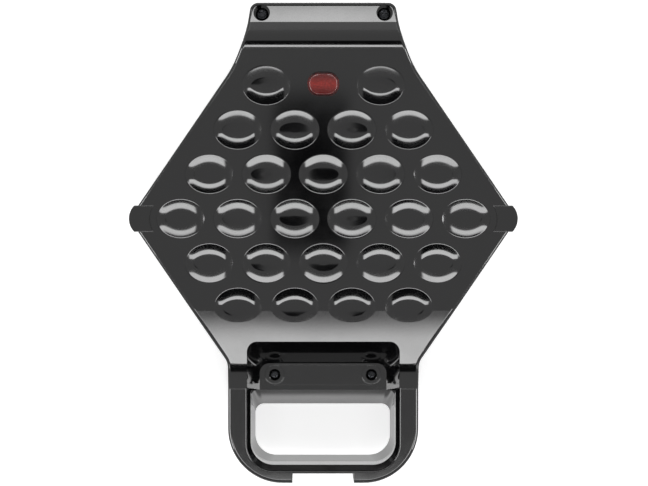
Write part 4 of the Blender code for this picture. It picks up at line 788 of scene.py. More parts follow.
round_off(base, rim_at(BASE_TOP_Z), FINE_RADIUS, 2)
round_off(base, is_grip_rim, 0.0010, 3)
round_off(base, rim_at(BASE_LOW_Z), FINE_RADIUS, 2)
smooth(base)
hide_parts("base_housing")
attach(base, "base")
print("base faces:", len(base.data.polygons))

# %% [markdown]
# ## The cooking plates
#
# Both plates are aluminium castings. A shallow field joins thirty egg-shaped cavities, and each
# cavity stands out behind as a dome. The form repeats, so one cavity is modelled as a turned form,
# copied to its thirty places, and all the copies are cut in one step.

# %% The plates' outlines
PITCH_X, PITCH_Y = 0.0300, 0.0240
CAVITY_HALF_X, CAVITY_HALF_Y, CAVITY_DEPTH = 0.0124, 0.0104, 0.0110
FIELD_DEPTH, SKIN, SLAB_DEPTH, FLANGE_DEPTH = 0.0015, 0.0024, 0.0042, 0.0025
FIELD_MARGIN, SLAB_MARGIN, FLANGE_MARGIN = 0.0122, 0.0145, 0.0170
EGG_SIDES, EGG_RINGS, EGG_END = 40, 9, math.radians(84)
cavity_places = [(x, y) for row, x, y in honeycomb(PITCH_X, PITCH_Y)]


def pattern_outline(margin):
    """Hexagon through the outermost cavities' centres, moved out and rounded by a margin."""
    tip, end, reach = 2.5 * PITCH_X, PITCH_X, 3 * PITCH_Y
    sharp = [(end, HEX_Y - reach), (tip, HEX_Y), (end, HEX_Y + reach),
             (-end, HEX_Y + reach), (-tip, HEX_Y), (-end, HEX_Y - reach)]
    return rounded([(x, y, margin) for x, y in moved_out(sharp, margin)])


def egg(name, half_x, half_y, start, rim, deep):
    """Half an egg, from a level over its rim down to its pole."""
    sections = [at_level(ellipse(0, 0, half_x, half_y, EGG_SIDES), start)]
    for ring in range(EGG_RINGS):
        angle = EGG_END * ring / (EGG_RINGS - 1)
        z = rim + (deep - rim) * math.sin(angle) / math.sin(EGG_END)
        narrow = math.cos(angle)
        sections.append(at_level(ellipse(0, 0, half_x * narrow, half_y * narrow, EGG_SIDES), z))
    return new_solid(name, sections)


print("cavities:", len(cavity_places), "in each plate")

# %% One plate, facing up or down
def cooking_plate(name, level, sign):
    """Slab, flange, domes and bosses, then the field and the cavities."""
    def levels(first, second):
        return sorted((level + sign * first, level + sign * second))

    plate = prism(name, pattern_outline(SLAB_MARGIN), *levels(0, SLAB_DEPTH))
    flange = prism("flange", pattern_outline(FLANGE_MARGIN), *levels(0, FLANGE_DEPTH))
    carve(plate, flange, "UNION")
    back = SLAB_DEPTH - 0.00125
    dome = egg("dome", CAVITY_HALF_X + SKIN, CAVITY_HALF_Y + SKIN, level + sign * (back - 0.0006),
               level + sign * back, level + sign * (FIELD_DEPTH + CAVITY_DEPTH + SKIN))
    carve(plate, spread(dome, cavity_places), "UNION")
    ends = levels(back, BOSS_DEPTH)
    bosses = [turned("boss", x, y, [(BOSS_RADIUS, z) for z in ends]) for x, y in POSTS]
    if sign < 0:
        bosses.append(turned("sensor_boss", 0, HEX_Y + 0.0080, [(0.0050, z) for z in ends]))
    carve(plate, joined("bosses", bosses), "UNION")
    carve(plate, prism("field", pattern_outline(FIELD_MARGIN), *levels(-OVER, FIELD_DEPTH)))
    face = level + sign * FIELD_DEPTH
    cavity = egg("cavity", CAVITY_HALF_X, CAVITY_HALF_Y, level + sign * (FIELD_DEPTH - 0.0007),
                 face, level + sign * (FIELD_DEPTH + CAVITY_DEPTH))
    carve(plate, spread(cavity, cavity_places))
    if sign < 0:
        ends = levels(BOSS_DEPTH - 0.0060, BOSS_DEPTH + OVER)
        carve(plate, joined("holes", [turned("hole", x, y, [(SCREW_BORE, z) for z in ends])
                                      for x, y in POSTS]))
    round_off(plate, rim_at(face, 40), 0.0006, 3)
    round_off(plate, rim_at(level), FINE_RADIUS, 2)
    smooth(plate)
    print(name, "faces:", len(plate.data.polygons))
    return plate


lower_plate = cooking_plate("lower_casting", BASE_TOP_Z, -1)
upper_plate = cooking_plate("upper_casting", LID_LOW_Z, 1)
for plate, node, body in ((lower_plate, "lower_plate", "base"),
                          (upper_plate, "upper_plate", "lid")):
    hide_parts(node)
    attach(plate, body)

# %% [markdown]
# ## The frames round the plates
#
# Each plate sits in a satin plastic ring, whose ledge catches the plate's flange. The lid's ring
# also carries the two hinge arms. They are plain prisms with small radii on the rims that show
# when the lid is open.

# %% Frames
FRAME_FRONT_Y, FRAME_REAR_Y, FRAME_DEPTH, STEP_DEPTH = -0.0870, 0.1265, 0.0053, FLANGE_DEPTH + GAP
ARM_INNER, ARM_OUTER, ARM_FRONT, ARM_REAR, ARM_HIGH, ARM_RADIUS = (
    0.0325, 0.0400, 0.1205, 0.1410, 0.0560, 0.0060)


def frame_ring(name, level, sign, rear, steps):
    """Ring between a level and the frame's depth, opened in two steps of (margin, from, to)."""
    outline = clipped(moved_out(shell_outline(), -WALL - GAP), FRAME_FRONT_Y, rear)
    ring = prism(name, outline, *sorted((level, level + sign * FRAME_DEPTH)))
    for margin, first, second in steps:
        ends = sorted((level + sign * first, level + sign * second))
        carve(ring, prism("opening", pattern_outline(margin + GAP), *ends))
    round_off(ring, rim_at(level), 0.0004, 2)
    return ring


base_frame = frame_ring("base_ring", BASE_TOP_Z, -1, BASE_REAR_Y - WALL - GAP,
                        ((FLANGE_MARGIN, -OVER, STEP_DEPTH), (SLAB_MARGIN, FLANGE_DEPTH, 0.0073)))
lid_frame = frame_ring("lid_ring", LID_LOW_Z, 1, FRAME_REAR_Y,
                       ((SLAB_MARGIN, -OVER, STEP_DEPTH), (FLANGE_MARGIN, FLANGE_DEPTH, 0.0078)))
for side in (-1, 1):
    left, right = sorted((side * ARM_INNER, side * ARM_OUTER))
    carve(lid_frame, block("arm", (left, ARM_FRONT, LID_LOW_Z), (right, ARM_REAR, ARM_HIGH)),
          "UNION")
    carve(lid_frame, rod("knuckle", HINGE_Y, HINGE_Z, ARM_RADIUS, left, right), "UNION")
tools = [rod("bore", HINGE_Y, HINGE_Z, HINGE_BORE, -0.05, 0.05)]
for side in (-1, 1):
    for (x, y), low in ((POCKET_SCREW, 0.0500), (STRIP_SCREW, 0.0520)):
        tools.append(turned("hole", side * x, y, ((SCREW_BORE, low), (SCREW_BORE, low + 0.0060))))
carve(lid_frame, joined("bores", tools))
for ring, node, body in ((base_frame, "base_frame", "base"), (lid_frame, "lid_frame", "lid")):
    smooth(ring)
    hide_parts(node)
    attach(ring, body)
    print(ring.name, "faces:", len(ring.data.polygons))

# %% [markdown]
# ## Indicator lens
#
# The red window is polycarbonate, pressed in from below and held by its flange. Its face stands
# a little over the lid with a soft radius all round, so it shows a pale line inside its dark gap.

# %% Lens
LENS_RIM, LENS_FACE_Z = 0.0009, LID_TOP_Z + 0.0008
under, rim_z = LID_TOP_Z - WALL - GAP, LENS_FACE_Z - LENS_RIM
steps = [(0, under - 0.0060), (0, under - 0.0012), (0.0015, under - 0.0012), (0.0015, under),
         (0, under), (0, rim_z)]
steps += [(-inward, LENS_FACE_Z - down)
          for inward, down in quarter_round(LENS_RIM, (20, 40, 60, 80))]
steps += [(-0.0016, LENS_FACE_Z - 0.00006), (-0.0028, LENS_FACE_Z)]
lens = new_solid("lens_window", [at_level(lens_outline(grow), z) for grow, z in steps])
smooth(lens, 40)
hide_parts("indicator_lens")
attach(lens, "lid")
print("lens faces:", len(lens.data.polygons))

# %% [markdown]
# ## Screws, pins, feet and the cord's grommet
#
# These are turned parts. A pan-head screw is a lathe profile with a cross recess: two tapered
# bars cut it, as the real recess is punched.

# %% Screws
def screw(name, node, body, place, tip_z, seat_z, head_radius, sign, turn):
    """Pan-head screw with a cross recess, head up or down."""
    x, y = place
    seat = seat_z + sign * GAP
    steps = [(0.0011, tip_z), (0.0015, tip_z + sign * 0.0008), (0.0015, seat),
             (head_radius, seat), (head_radius, seat + sign * 0.0010)]
    for angle in (20, 40, 60, 80):
        bow = math.radians(angle)
        steps.append((head_radius * (0.55 + 0.45 * math.cos(bow)),
                      seat + sign * (0.0010 + 0.0012 * math.sin(bow))))
    steps.append((head_radius * 0.35, seat + sign * 0.0022))
    shape = turned(name, x, y, steps, 32)
    reach, wide = head_radius * 0.62, head_radius * 0.15
    top, low = seat + sign * 0.0032, seat + sign * 0.0011
    for quarter in (0, 90):
        recess = new_solid("recess", [
            at_level([(-r, -w), (r, -w), (r, w), (-r, w)], z)
            for r, w, z in ((reach * 0.7, wide * 0.8, low), (reach, wide, top))])
        carve(shape, placed(recess, x, y, turn + quarter))
    smooth(shape, 35)
    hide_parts(node)
    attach(shape, body)
    return shape


screws = []
for label, side, turn in (("left", -1, 20), ("right", 1, 65)):
    place = (side * POCKET_SCREW[0], POCKET_SCREW[1])
    screws.append(screw("pocket_fixing_" + label, "pocket_screw_" + label, "lid", place, 0.0505,
                        0.0568, 0.0029, 1, turn))
    place = (side * STRIP_SCREW[0], STRIP_SCREW[1])
    screws.append(screw("hinge_fixing_" + label, "hinge_screw_" + label, "lid", place, 0.0525,
                        0.0600, 0.0040, 1, turn + 30))
POST_LABELS = ("front_left", "rear_left", "front_right", "rear_right")
for number, (label, place) in enumerate(zip(POST_LABELS, POSTS)):
    screws.append(screw("base_fixing_" + label, "base_screw_" + label, "base", place,
                        BASE_TOP_Z - BOSS_DEPTH + 0.0055, 0.0160, 0.0030, -1, 25 * number))
print("screws:", len(screws))

# %% Pins
for name, node, radius, half, y, z, body in (
        ("hinge_shaft", "hinge_pin", 0.0020, 0.0405, HINGE_Y, HINGE_Z, "base"),
        ("latch_shaft", "latch_pin", 0.0008, 0.0222, PIVOT_Y, PIVOT_Z, "base")):
    bevel = 0.0003
    pin = turned_across(name, y, z, ((radius * 0.8, -half), (radius, -half + bevel),
                                     (radius, half - bevel), (radius * 0.8, half)), 32)
    smooth(pin, 40)
    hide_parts(node)
    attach(pin, body)
    print(name, "faces:", len(pin.data.polygons))

# %% Feet
for label, (x, y) in zip(("front_left", "front_right", "rear_left", "rear_right"), FEET):
    foot = turned("rubber_foot_" + label, x, y, (
        (0.0040, 0.0008), (0.0046, 0.0001), (0.0068, 0.0), (0.0071, 0.0003), (0.0079, 0.0030),
        (0.0080, 0.0040), (0.0078, 0.0045), (0.0075, 0.0047), (0.0030, 0.0047), (0.0030, 0.0104),
        (0.0027, 0.0107)))
    smooth(foot, 50)
    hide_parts("foot_" + label)
    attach(foot, "base")
    print(foot.name, "faces:", len(foot.data.polygons))

# %% Grommet: a ring profile, turned about the cord's axis
inner_y, outer_y = BASE_REAR_Y - WALL - GAP, BASE_REAR_Y + GAP
grommet = about_cord("cord_grommet", (
    (0.0072, inner_y - 0.0020), (0.0072, inner_y), (0.0050, inner_y), (0.0050, outer_y),
    (0.0070, outer_y), (0.0072, outer_y + 0.0002), (0.0072, outer_y + 0.0013),
    (0.0066, outer_y + 0.0020), (0.0038, outer_y + 0.0020)))
carve(grommet, about_cord("bore", ((0.0033, inner_y - 0.01), (0.0033, outer_y + 0.01))))
smooth(grommet, 40)
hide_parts("cord_inlet")
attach(grommet, "base")
print("grommet faces:", len(grommet.data.polygons))

# %% [markdown]
# ## Latch
#
# The latch is a small moulded plate on a wire pin. Its upper end is a knuckle, its middle is
# flat, and its lip hooks into the lid's slot when it is swung up. Grip ribs across its lower
# face help the thumb. The side profile is drawn once and extruded to the latch's width.

# %% Latch
LATCH_HALF, LATCH_LENGTH, LIP_HIGH, LIP_LOW, LIP_REACH = 0.0181, 0.0220, 0.0190, 0.0206, 0.0016
RIBS, FIRST_RIB, RIB_PITCH, RIB_RADIUS = 4, 0.0070, 0.0025, 0.0005
back, front = PIVOT_Y + 0.0012, PIVOT_Y - 0.0012
tip_y = front - LIP_REACH
profile = rounded([
    (front, PIVOT_Z - LATCH_LENGTH, 0.0010), (back, PIVOT_Z - LATCH_LENGTH, 0.0010),
    (back, PIVOT_Z, 0), (front, PIVOT_Z, 0), (front, PIVOT_Z - LIP_HIGH, 0),
    (tip_y, PIVOT_Z - LIP_HIGH, 0.0004), (tip_y, PIVOT_Z - LIP_LOW, 0.0004),
    (front, PIVOT_Z - LIP_LOW, 0)])
latch = crosswise("latch_plate", profile, LATCH_HALF)
carve(latch, rod("knuckle", PIVOT_Y, PIVOT_Z, 0.0017, -LATCH_HALF, LATCH_HALF), "UNION")
for number in range(RIBS):
    z = PIVOT_Z - FIRST_RIB - RIB_PITCH * number
    carve(latch, rod("rib", front + 0.0001, z, RIB_RADIUS, -0.0120, 0.0120, 16), "UNION")
carve(latch, rod("bore", PIVOT_Y, PIVOT_Z, PIVOT_BORE, -0.02, 0.02))
round_off(latch, lambda edge: bend(edge) > 60 and edge.is_convex
          and all(abs(abs(corner.co.x) - LATCH_HALF) < 1e-5 for corner in edge.verts),
          FINE_RADIUS, 2)
smooth(latch, 35)
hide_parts("latch")
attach(latch, "latch")
print("latch faces:", len(latch.data.polygons))

# %% [markdown]
# ## Working with nodes
#
# A material is a small program: each node takes numbers and gives numbers. One function adds a
# node with its settings and links, and shorter ones stand for the kinds that come up often.
# Colours are written as on screen and turned to linear values, which the renderer works in.
# Scales are worked out from the real size of a feature.

# %% Helpers for nodes
def add_node(tree, kind, sockets=None, **settings):
    """Add a node, set its properties and fill its sockets with values or links."""
    node = tree.nodes.new(kind)
    for name, value in settings.items():
        setattr(node, name, value)
    for name, value in (sockets or {}).items():
        if isinstance(value, bpy.types.NodeSocket):
            tree.links.new(value, node.inputs[name])
        else:
            node.inputs[name].default_value = value
    return node


def compute(tree, operation, *values):
    """Sum on values or links."""
    return add_node(tree, "ShaderNodeMath", dict(enumerate(values)), operation=operation).outputs[0]


def between(tree, value, low, high, start=0.3, end=0.7):
    """Map a texture's value to a range."""
    return add_node(tree, "ShaderNodeMapRange", {"Value": value, "From Min": start, "From Max": end,
                                                 "To Min": low, "To Max": high}).outputs["Result"]


def linear(code):
    """Turn an sRGB hex value into a linear colour."""
    channels = [int(code[i:i + 2], 16) / 255 for i in (1, 3, 5)]
    return tuple(c / 12.92 if c <= 0.04045 else ((c + 0.055) / 1.055) ** 2.4
                 for c in channels) + (1.0,)


def mixed(tree, share, first, second):
    """Mix two colours by a value."""
    node = add_node(tree, "ShaderNodeMix", data_type="RGBA")
    tree.links.new(share, node.inputs[0])
    node.inputs[6].default_value, node.inputs[7].default_value = linear(first), linear(second)
    return node.outputs[2]


# %% Helpers for textures
def per_mm(size):
    """Scale of a texture whose features are this many millimetres across."""
    return 1000.0 / size


def noise(tree, place, size, detail, **more):
    """Noise with features of a size in millimetres."""
    return add_node(tree, "ShaderNodeTexNoise", {"Vector": place, "Scale": per_mm(size),
                                                 "Detail": detail, **more}).outputs["Fac"]


def cells(tree, place, size, **settings):
    """Distance from the middle of cells of a size in millimetres."""
    return add_node(tree, "ShaderNodeTexVoronoi", {"Vector": place, "Scale": per_mm(size)},
                    **settings).outputs["Distance"]


def bump(tree, height, distance, strength, **more):
    """Normal of a surface raised by a height."""
    return add_node(tree, "ShaderNodeBump", {"Height": height, "Distance": distance,
                                             "Strength": strength, **more}).outputs["Normal"]


def mapped(tree, place, **transform):
    """Texture place after a shift, turn or scale."""
    return add_node(tree, "ShaderNodeMapping", {"Vector": place, **transform}).outputs["Vector"]


# %% Helpers for materials
def new_material(name, **constants):
    """Principled material whose constants are set on the shader's own sockets."""
    material = bpy.data.materials.new(name)
    material.use_nodes = True
    shader = material.node_tree.nodes["Principled BSDF"]
    for socket, value in constants.items():
        shader.inputs[socket.replace("_", " ")].default_value = value
    place = add_node(material.node_tree, "ShaderNodeTexCoord").outputs["Object"]
    return material, material.node_tree, shader, place


def link(tree, shader, **links):
    """Lead values into the shader's sockets."""
    for socket, value in links.items():
        tree.links.new(value, shader.inputs[socket.replace("_", " ")])


def clouded(name, size, detail, rough, shades, **constants):
    """Material whose roughness and colour drift together over patches of one size."""
    material, tree, shader, place = new_material(name, **constants)
    cloud = noise(tree, place, size, detail)
    link(tree, shader, Roughness=between(tree, cloud, *rough),
         Base_Color=mixed(tree, cloud, *shades))
    return material, tree, shader, cloud


def dress(material, *names):
    """Give pieces or engineering nodes one material."""
    for name in names:
        thing = bpy.data.objects[name]
        for slot in thing.material_slots:
            slot.material = material
        if not thing.material_slots:
            thing.data.materials.append(material)
    print(material.name, "->", len(names), "pieces")


# %% [markdown]
# ## High-gloss black ABS
#
# The shells are ABS coloured with carbon black and moulded against polished steel. The pigment
# gives no light back, so all that the eye sees is the reflection in the skin: a clear coat over a
# tighter gloss. Moulded walls are never quite flat. A slow waviness, tens of millimetres long,
# bends the reflections a little, and handling leaves a faint uneven haze and a few dust specks.

# %% Gloss
gloss, tree, shader, place = new_material(
    "high_gloss_black_abs", IOR=1.54, Coat_Weight=1.0, Coat_Roughness=0.035, Coat_IOR=1.60)
haze = noise(tree, place, 18, 5.0, Roughness=0.6)
speck = between(tree, cells(tree, place, 7), 1.0, 0.0, 0.012, 0.03)
ripple = bump(tree, noise(tree, place, 45, 1.0), 0.00022, 0.25)
skin = bump(tree, noise(tree, place, 1.6, 1.0), 0.0000012, 0.5, Normal=ripple)
link(tree, shader, Roughness=between(tree, haze, 0.07, 0.16),
     Base_Color=mixed(tree, speck, "#0A0A0B", "#262627"), Normal=skin, Coat_Normal=skin)
dress(gloss, "lid_shell", "base_shell")

# %% [markdown]
# ## Satin black polypropylene
#
# The frames and the latch are polypropylene from a spark-eroded mould. The fine grain, under
# half a millimetre, scatters light, so they look dark grey beside the gloss.

# %% Satin
satin, tree, shader, place = new_material("satin_black_polypropylene", IOR=1.49)
broad = noise(tree, place, 25, 3.0)
link(tree, shader, Roughness=between(tree, broad, 0.36, 0.50),
     Base_Color=mixed(tree, broad, "#1B1B1C", "#232324"),
     Normal=bump(tree, noise(tree, place, 0.4, 2.0), 0.00003, 0.4))
dress(satin, "base_ring", "lid_ring", "latch_plate")

# %% [markdown]
# ## Non-stick coating on cast aluminium
#
# The plates are sprayed with a dark fluoropolymer that holds fine mineral flecks. It is a dull
# sheen over a slight orange peel, a little smoother where batter and spatula have polished it.

# %% Coating
coating, tree, shader, place = new_material(
    "non_stick_fluoropolymer_coating", IOR=1.38, Coat_Weight=0.35, Coat_Roughness=0.22,
    Coat_IOR=1.45)
fleck = between(tree, cells(tree, place, 1.5), 1.0, 0.0, 0.10, 0.18)
link(tree, shader, Roughness=between(tree, noise(tree, place, 30, 4.0), 0.34, 0.48),
     Base_Color=mixed(tree, fleck, "#242527", "#5E6064"),
     Normal=bump(tree, noise(tree, place, 0.9, 2.0), 0.00004, 0.5))
dress(coating, "lower_casting", "upper_casting")

# %% [markdown]
# ## Red polycarbonate
#
# The lens is tinted right through, and its back is moulded in fine prisms that spread the lamp's
# light. Seen unlit, it is a deep red under a clear gloss. A lighter band along the middle, where
# the glass tube lies behind it, is painted into its colour in place of the tube seen through it.

# %% Lens
red, tree, shader, place = new_material(
    "tinted_red_polycarbonate", Roughness=0.12, IOR=1.58, Coat_Weight=0.8, Coat_Roughness=0.03,
    Coat_IOR=1.5, Subsurface_Weight=0.10, Subsurface_Scale=0.002)
# Painted light: the colour is lighter in a band along the middle, standing in for the glass tube
# seen through the lens.
centred = mapped(tree, place, Location=(0.0, -LENS_Y, 0.0))
axes = add_node(tree, "ShaderNodeSeparateXYZ", {"Vector": centred})
from_middle = compute(tree, "ABSOLUTE", axes.outputs["Y"])
glow = between(tree, from_middle, 1.0, 0.0, 0.0008, 0.0042)
prisms = cells(tree, place, 1.1, distance="CHEBYCHEV")
share = compute(tree, "SUBTRACT", glow, compute(tree, "MULTIPLY", glow, prisms))
link(tree, shader, Base_Color=mixed(tree, share, "#5A0F0C", "#93241C"),
     Normal=bump(tree, prisms, 0.0002, 0.35))
dress(red, "lens_window")

# %% [markdown]
# ## Metals
#
# Zinc-plated steel is bright but clouded, blackened steel is the same screw after a hot oxide
# bath, the heater's tube is stainless steel that heat has browned, and the reflectors are rolled
# aluminium, whose mill lines run along the sheet.

# %% Zinc-plated, blackened and browned steel
zinc, *_ = clouded("zinc_plated_steel", 3, 4.0, (0.22, 0.36), ("#A9ABAF", "#C4C5C8"), Metallic=1.0)
dress(zinc, "hinge_shaft", "latch_shaft", "thermostat",
      *["base_fixing_" + label for label in POST_LABELS])

oxide, *_ = clouded("black_oxide_steel", 2, 4.0, (0.20, 0.34), ("#2E2F31", "#434447"),
                    Metallic=1.0)
dress(oxide, "pocket_fixing_left", "pocket_fixing_right", "hinge_fixing_left",
      "hinge_fixing_right")

browned, tree, shader, place = new_material("heat_browned_stainless_steel", Metallic=1.0)
cloud = noise(tree, place, 14, 4.0)
link(tree, shader, Roughness=between(tree, cloud, 0.28, 0.44),
     Base_Color=mixed(tree, between(tree, cloud, 0.0, 1.0), "#8B8784", "#6A5C50"))
dress(browned, "lower_element", "upper_element")

# %% Rolled aluminium
rolled, tree, shader, place = new_material("rolled_aluminium", Metallic=1.0)
lines = noise(tree, mapped(tree, place, Scale=(0.03, 1.0, 1.0)), 0.5, 3.0)
link(tree, shader, Roughness=between(tree, lines, 0.26, 0.40),
     Base_Color=mixed(tree, lines, "#B9BBBD", "#D0D1D2"),
     Normal=bump(tree, lines, 0.00001, 0.5))
dress(rolled, "lower_reflector", "upper_reflector")

# %% [markdown]
# ## Rubber, nylon, glass and glass fibre
#
# The feet and the grommet are black rubber with a dusty bloom. The terminal block is natural
# nylon, slightly translucent. The lamp is a small glass tube, and the fuse wears a woven
# glass-fibre sleeve, whose braid is a crossing pair of fine waves.

# %% Rubber, nylon and lamp glass
rubber, tree, shader, bloom = clouded("black_nitrile_rubber", 5, 5.0, (0.62, 0.82),
                                      ("#141414", "#222221"), IOR=1.52)
link(tree, shader, Normal=bump(tree, bloom, 0.00005, 0.3))
dress(rubber, "cord_grommet", *["rubber_foot_" + label for label in POST_LABELS])

nylon, *_ = clouded("natural_nylon", 6, 3.0, (0.42, 0.55), ("#D6D3C8", "#E0DED6"), IOR=1.53,
                    Subsurface_Weight=0.3, Subsurface_Scale=0.001)
dress(nylon, "terminal_block")

glass, *_ = clouded("neon_lamp_glass", 4, 2.0, (0.02, 0.10), ("#E9C9AE", "#F2E2D2"), IOR=1.50,
                    Transmission_Weight=0.85)
dress(glass, "indicator_lamp")

# %% Glass-fibre sleeve
sleeve, tree, shader, place = new_material("braided_glass_fibre", Roughness=0.85)
waves = []
for angle in (math.radians(45), math.radians(-45)):
    along = mapped(tree, place, Rotation=(angle, 0.0, angle))
    waves.append(add_node(tree, "ShaderNodeTexWave", {"Vector": along, "Scale": per_mm(3.2)}
                          ).outputs["Fac"])
braid = compute(tree, "MAXIMUM", *waves)
link(tree, shader, Base_Color=mixed(tree, braid, "#B9B29C", "#DED9C8"),
     Normal=bump(tree, braid, 0.0002, 0.6))
dress(sleeve, "thermal_fuse")

# %% [markdown]
# ## Camera
#
# The photograph looks almost straight down with a long lens. The black reflections in the flat
# part of the lid show where the camera stood: a little left of the middle and towards the hinge.
# A long lens at that place needs only a small shift to centre the picture.

# %% Camera
PICTURE_WIDTH, CAMERA_HEIGHT, SENSOR = 0.3888, 1.300, 36.0
CAMERA_FOOT, AIM = Vector((-0.0098, 0.0150, LID_TOP_Z)), Vector((0.0004, 0.0, LID_TOP_Z))
camera_data = bpy.data.cameras.new("camera")
camera = bpy.data.objects.new("camera", camera_data)
bpy.context.scene.collection.objects.link(camera)
camera.location = CAMERA_FOOT + Vector((0, 0, CAMERA_HEIGHT))
camera_data.sensor_width = SENSOR
camera_data.lens = SENSOR * CAMERA_HEIGHT / PICTURE_WIDTH
camera_data.shift_x = (AIM.x - CAMERA_FOOT.x) / PICTURE_WIDTH
camera_data.shift_y = (AIM.y - CAMERA_FOOT.y) / PICTURE_WIDTH
camera_data.clip_end = 10.0
bpy.context.scene.camera = camera
print("lens", round(camera_data.lens, 1), "shift", round(camera_data.shift_x, 3),
      round(camera_data.shift_y, 3))

# %% [markdown]
# ## Light
#
# Black gloss shows nothing but its surroundings, so they are built as a studio builds them: two
# large lamps give the plain light that falls on everything, and sheets that only the gloss sees
# draw the reflections. A bright card before the lid and one behind it give every dish its pair
# of crescents, and a dark flag beyond each card cuts the crescents off. The dark shape of the
# camera blackens the middle of the lid. Upright screens at both sides draw the thin bright lines
# on the rounded edges, and the gloss sees the table near the cooker in shade.

# %% Lamps for the plain light
LAMP_HALF, LAMP_NEAR, LAMP_FAR, LAMP_Z, LAMP_RADIANCE = 0.430, 0.300, 0.830, 1.200, 5.0


def softbox(name, corner, other, height, radiance):
    """Rectangular lamp that faces down, given by two corners and the level of its face."""
    lamp = bpy.data.lights.new(name, "AREA")
    lamp.shape = "RECTANGLE"
    lamp.size, lamp.size_y = other[0] - corner[0], other[1] - corner[1]
    lamp.energy = radiance * math.pi * lamp.size * lamp.size_y
    holder = bpy.data.objects.new(name, lamp)
    bpy.context.scene.collection.objects.link(holder)
    holder.location = ((corner[0] + other[0]) / 2, (corner[1] + other[1]) / 2, height)
    holder.visible_glossy = False
    print(name, "power", round(lamp.energy, 2))


softbox("front_softbox", (-LAMP_HALF, -LAMP_FAR), (LAMP_HALF, -LAMP_NEAR), LID_TOP_Z + LAMP_Z,
        LAMP_RADIANCE)
softbox("rear_softbox", (-LAMP_HALF, LAMP_NEAR), (LAMP_HALF, LAMP_FAR), LID_TOP_Z + LAMP_Z,
        LAMP_RADIANCE)


# %% Helpers for sheets and glow
def empty_material(name):
    """Material with an empty tree, and the tree."""
    material = bpy.data.materials.new(name)
    material.use_nodes = True
    material.node_tree.nodes.clear()
    return material, material.node_tree


def emission(tree, strength):
    """White glow."""
    return add_node(tree, "ShaderNodeEmission", {"Color": linear("#FFFFFF"),
                                                 "Strength": strength}).outputs[0]


def blend(tree, share, first, second):
    """Mix two shaders by a value."""
    return add_node(tree, "ShaderNodeMixShader", {0: share, 1: first, 2: second}).outputs[0]


def ramp(tree, value, stops):
    """Curve through (place, level) stops, as a chain of eased steps."""
    total = stops[0][1]
    for (start, low), (end, high) in zip(stops, stops[1:]):
        step = add_node(tree, "ShaderNodeMapRange", {
            "Value": value, "From Min": start, "From Max": end, "To Min": 0.0,
            "To Max": high - low}, interpolation_type="SMOOTHSTEP").outputs[0]
        total = compute(tree, "ADD", step, total)
    return total


def gloss_only(name, corners, material, axis=0.0):
    """Sheet through four corners that nothing but the gloss sees."""
    select_only()
    bpy.ops.mesh.primitive_plane_add(size=1.0)
    sheet = bpy.context.object
    sheet.name = name
    for vertex, corner in zip(sheet.data.vertices, corners):
        vertex.co = corner
    sheet.location.x = axis
    sheet.data.materials.append(material)
    sheet.visible_camera = sheet.visible_diffuse = sheet.visible_shadow = False
    sheet.visible_transmission = False
    print(name, "staged")


# %% Cards, flags and the camera's shape
def card(name, half, front, rear, height, across, along, radiance, axis=0.0):
    """Card whose glow follows one curve over |x| and another over y, measured from the axis."""
    glow, tree = empty_material(name)
    place = add_node(tree, "ShaderNodeTexCoord").outputs["Object"]
    parts = add_node(tree, "ShaderNodeSeparateXYZ", {0: place})
    side = compute(tree, "ABSOLUTE", parts.outputs["X"])
    level = compute(tree, "MULTIPLY", ramp(tree, side, across),
                    ramp(tree, parts.outputs["Y"], along))
    clear = add_node(tree, "ShaderNodeBsdfTransparent").outputs[0]
    add_node(tree, "ShaderNodeOutputMaterial",
             {"Surface": blend(tree, level, clear, emission(tree, radiance))})
    corners = [(x, y, height) for y in (front, rear) for x in (-half, half)]
    gloss_only(name, corners, glow, axis)


CARD_HALF, CARD_Z, CARD_RADIANCE, DARK = 0.44, LID_TOP_Z + 0.610, 5.0, 0.0
FLAG_Z, CAMERA_SHAPE_Z = CARD_Z + 0.002, LID_TOP_Z + 0.600
card_ends, flag_ends = ((0.30, 1.0), (0.40, 0.0)), ((0.34, 1.0), (0.44, 0.0))
card("front_card", CARD_HALF, -0.36, -0.20, CARD_Z, card_ends,
     ((-0.334, 0.0), (-0.328, 1.0), (-0.240, 1.0), (-0.212, 0.0)), CARD_RADIANCE)
card("rear_card", CARD_HALF, 0.26, 0.40, CARD_Z, card_ends,
     ((0.270, 0.0), (0.298, 1.0), (0.350, 1.0), (0.374, 0.6), (0.380, 0.0)), CARD_RADIANCE)
card("front_flag", CARD_HALF, -0.70, -0.328, FLAG_Z, flag_ends,
     ((-0.70, 0.0), (-0.60, 1.0), (-0.336, 1.0), (-0.330, 0.0)), DARK)
card("rear_flag", CARD_HALF, 0.374, 0.70, FLAG_Z, flag_ends,
     ((0.376, 0.0), (0.382, 1.0), (0.60, 1.0), (0.70, 0.0)), DARK)
card("camera_shape", 0.060, -0.040, 0.150, CAMERA_SHAPE_Z, ((0.024, 1.0), (0.040, 0.0)),
     ((-0.025, 0.0), (0.000, 1.0), (0.105, 1.0), (0.135, 0.0)), DARK, axis=-0.0065)

# %% Upright screens at the sides
SCREEN_X, SCREEN_HALF, SCREEN_LOW, SCREEN_HIGH, SCREEN_RADIANCE = 1.5, 0.9, 0.70, 1.30, 7.0
for side in (-1, 1):
    glow, tree = empty_material("side_screen")
    add_node(tree, "ShaderNodeOutputMaterial", {"Surface": emission(tree, SCREEN_RADIANCE)})
    gloss_only("side_screen", [(side * SCREEN_X, y, z) for z in (SCREEN_LOW, SCREEN_HIGH)
                               for y in (-SCREEN_HALF, SCREEN_HALF)], glow)

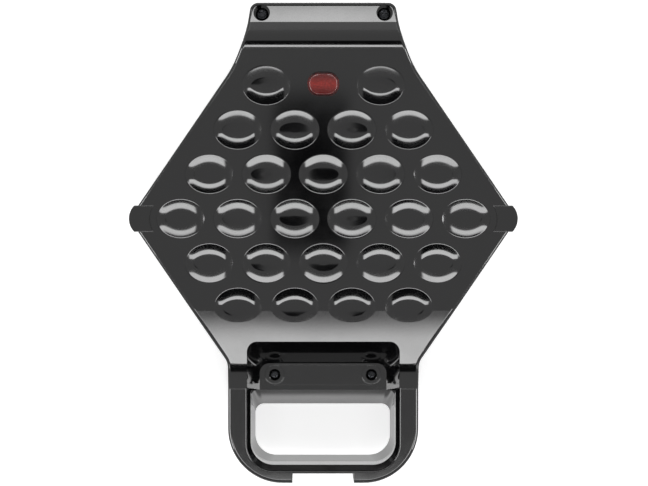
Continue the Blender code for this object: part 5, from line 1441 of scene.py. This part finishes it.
# %% World
ROOM, BACKDROP = 0.40, 1.0
world = bpy.data.worlds.new("studio")
bpy.context.scene.world = world
world.use_nodes = True
tree = world.node_tree
tree.nodes.clear()
paths = add_node(tree, "ShaderNodeLightPath")
room, backdrop = [add_node(tree, "ShaderNodeBackground", {
    "Color": linear("#FFFFFF"), "Strength": strength}).outputs[0] for strength in (ROOM, BACKDROP)]
add_node(tree, "ShaderNodeOutputWorld", {
    "Surface": blend(tree, paths.outputs["Is Camera Ray"], room, backdrop)})
print("world:", world.name)

# %% White table
TABLE_GLOW, TABLE_SHADE, OPENING_SHARE = 0.60, 0.6, 0.5
select_only()
bpy.ops.mesh.primitive_plane_add(size=6.0, location=(0, 0, -0.0002))
floor = bpy.context.object
floor.name = "floor"
paper, tree = empty_material("white_paper_sweep")
paths = add_node(tree, "ShaderNodeLightPath")
glossy = paths.outputs["Is Glossy Ray"]
place = add_node(tree, "ShaderNodeTexCoord").outputs["Object"]
parts = add_node(tree, "ShaderNodeSeparateXYZ", {0: place})
side = compute(tree, "ABSOLUTE", parts.outputs["X"])
depth = compute(tree, "ABSOLUTE", parts.outputs["Y"])
near = ((0.45, 1.0), (0.60, 0.0))
around = compute(tree, "MULTIPLY", ramp(tree, side, near), ramp(tree, depth, near))
opening = compute(tree, "MULTIPLY", ramp(tree, side, ((0.055, 1.0), (0.060, 0.0))), ramp(
    tree, parts.outputs["Y"], ((-0.145, 0.0), (-0.140, 1.0), (-0.085, 1.0), (-0.080, 0.0))))
# The table glows for the camera, and half as much for the gloss inside the finger opening.
seen = compute(tree, "MAXIMUM", paths.outputs["Is Camera Ray"],
               paths.outputs["Is Transmission Ray"])
inside = compute(tree, "MULTIPLY", opening, glossy)
seen = compute(tree, "MULTIPLY_ADD", inside, OPENING_SHARE, seen)
none = emission(tree, 0.0)
lit = blend(tree, seen, none, emission(tree, TABLE_GLOW))
matt = add_node(tree, "ShaderNodeBsdfDiffuse", {"Color": linear("#E6E6E6")}).outputs[0]
both = add_node(tree, "ShaderNodeAddShader", {0: matt, 1: lit}).outputs[0]
# The gloss sees it in shade near the cooker, save inside the opening.
shaded = compute(tree, "MULTIPLY", compute(tree, "SUBTRACT", around, opening), glossy)
shaded = compute(tree, "MULTIPLY", shaded, TABLE_SHADE)
add_node(tree, "ShaderNodeOutputMaterial", {"Surface": blend(tree, shaded, both, none)})
floor.data.materials.append(paper)
print("table:", paper.name)

# %% Finish
bpy.context.scene.view_settings.view_transform = "Standard"
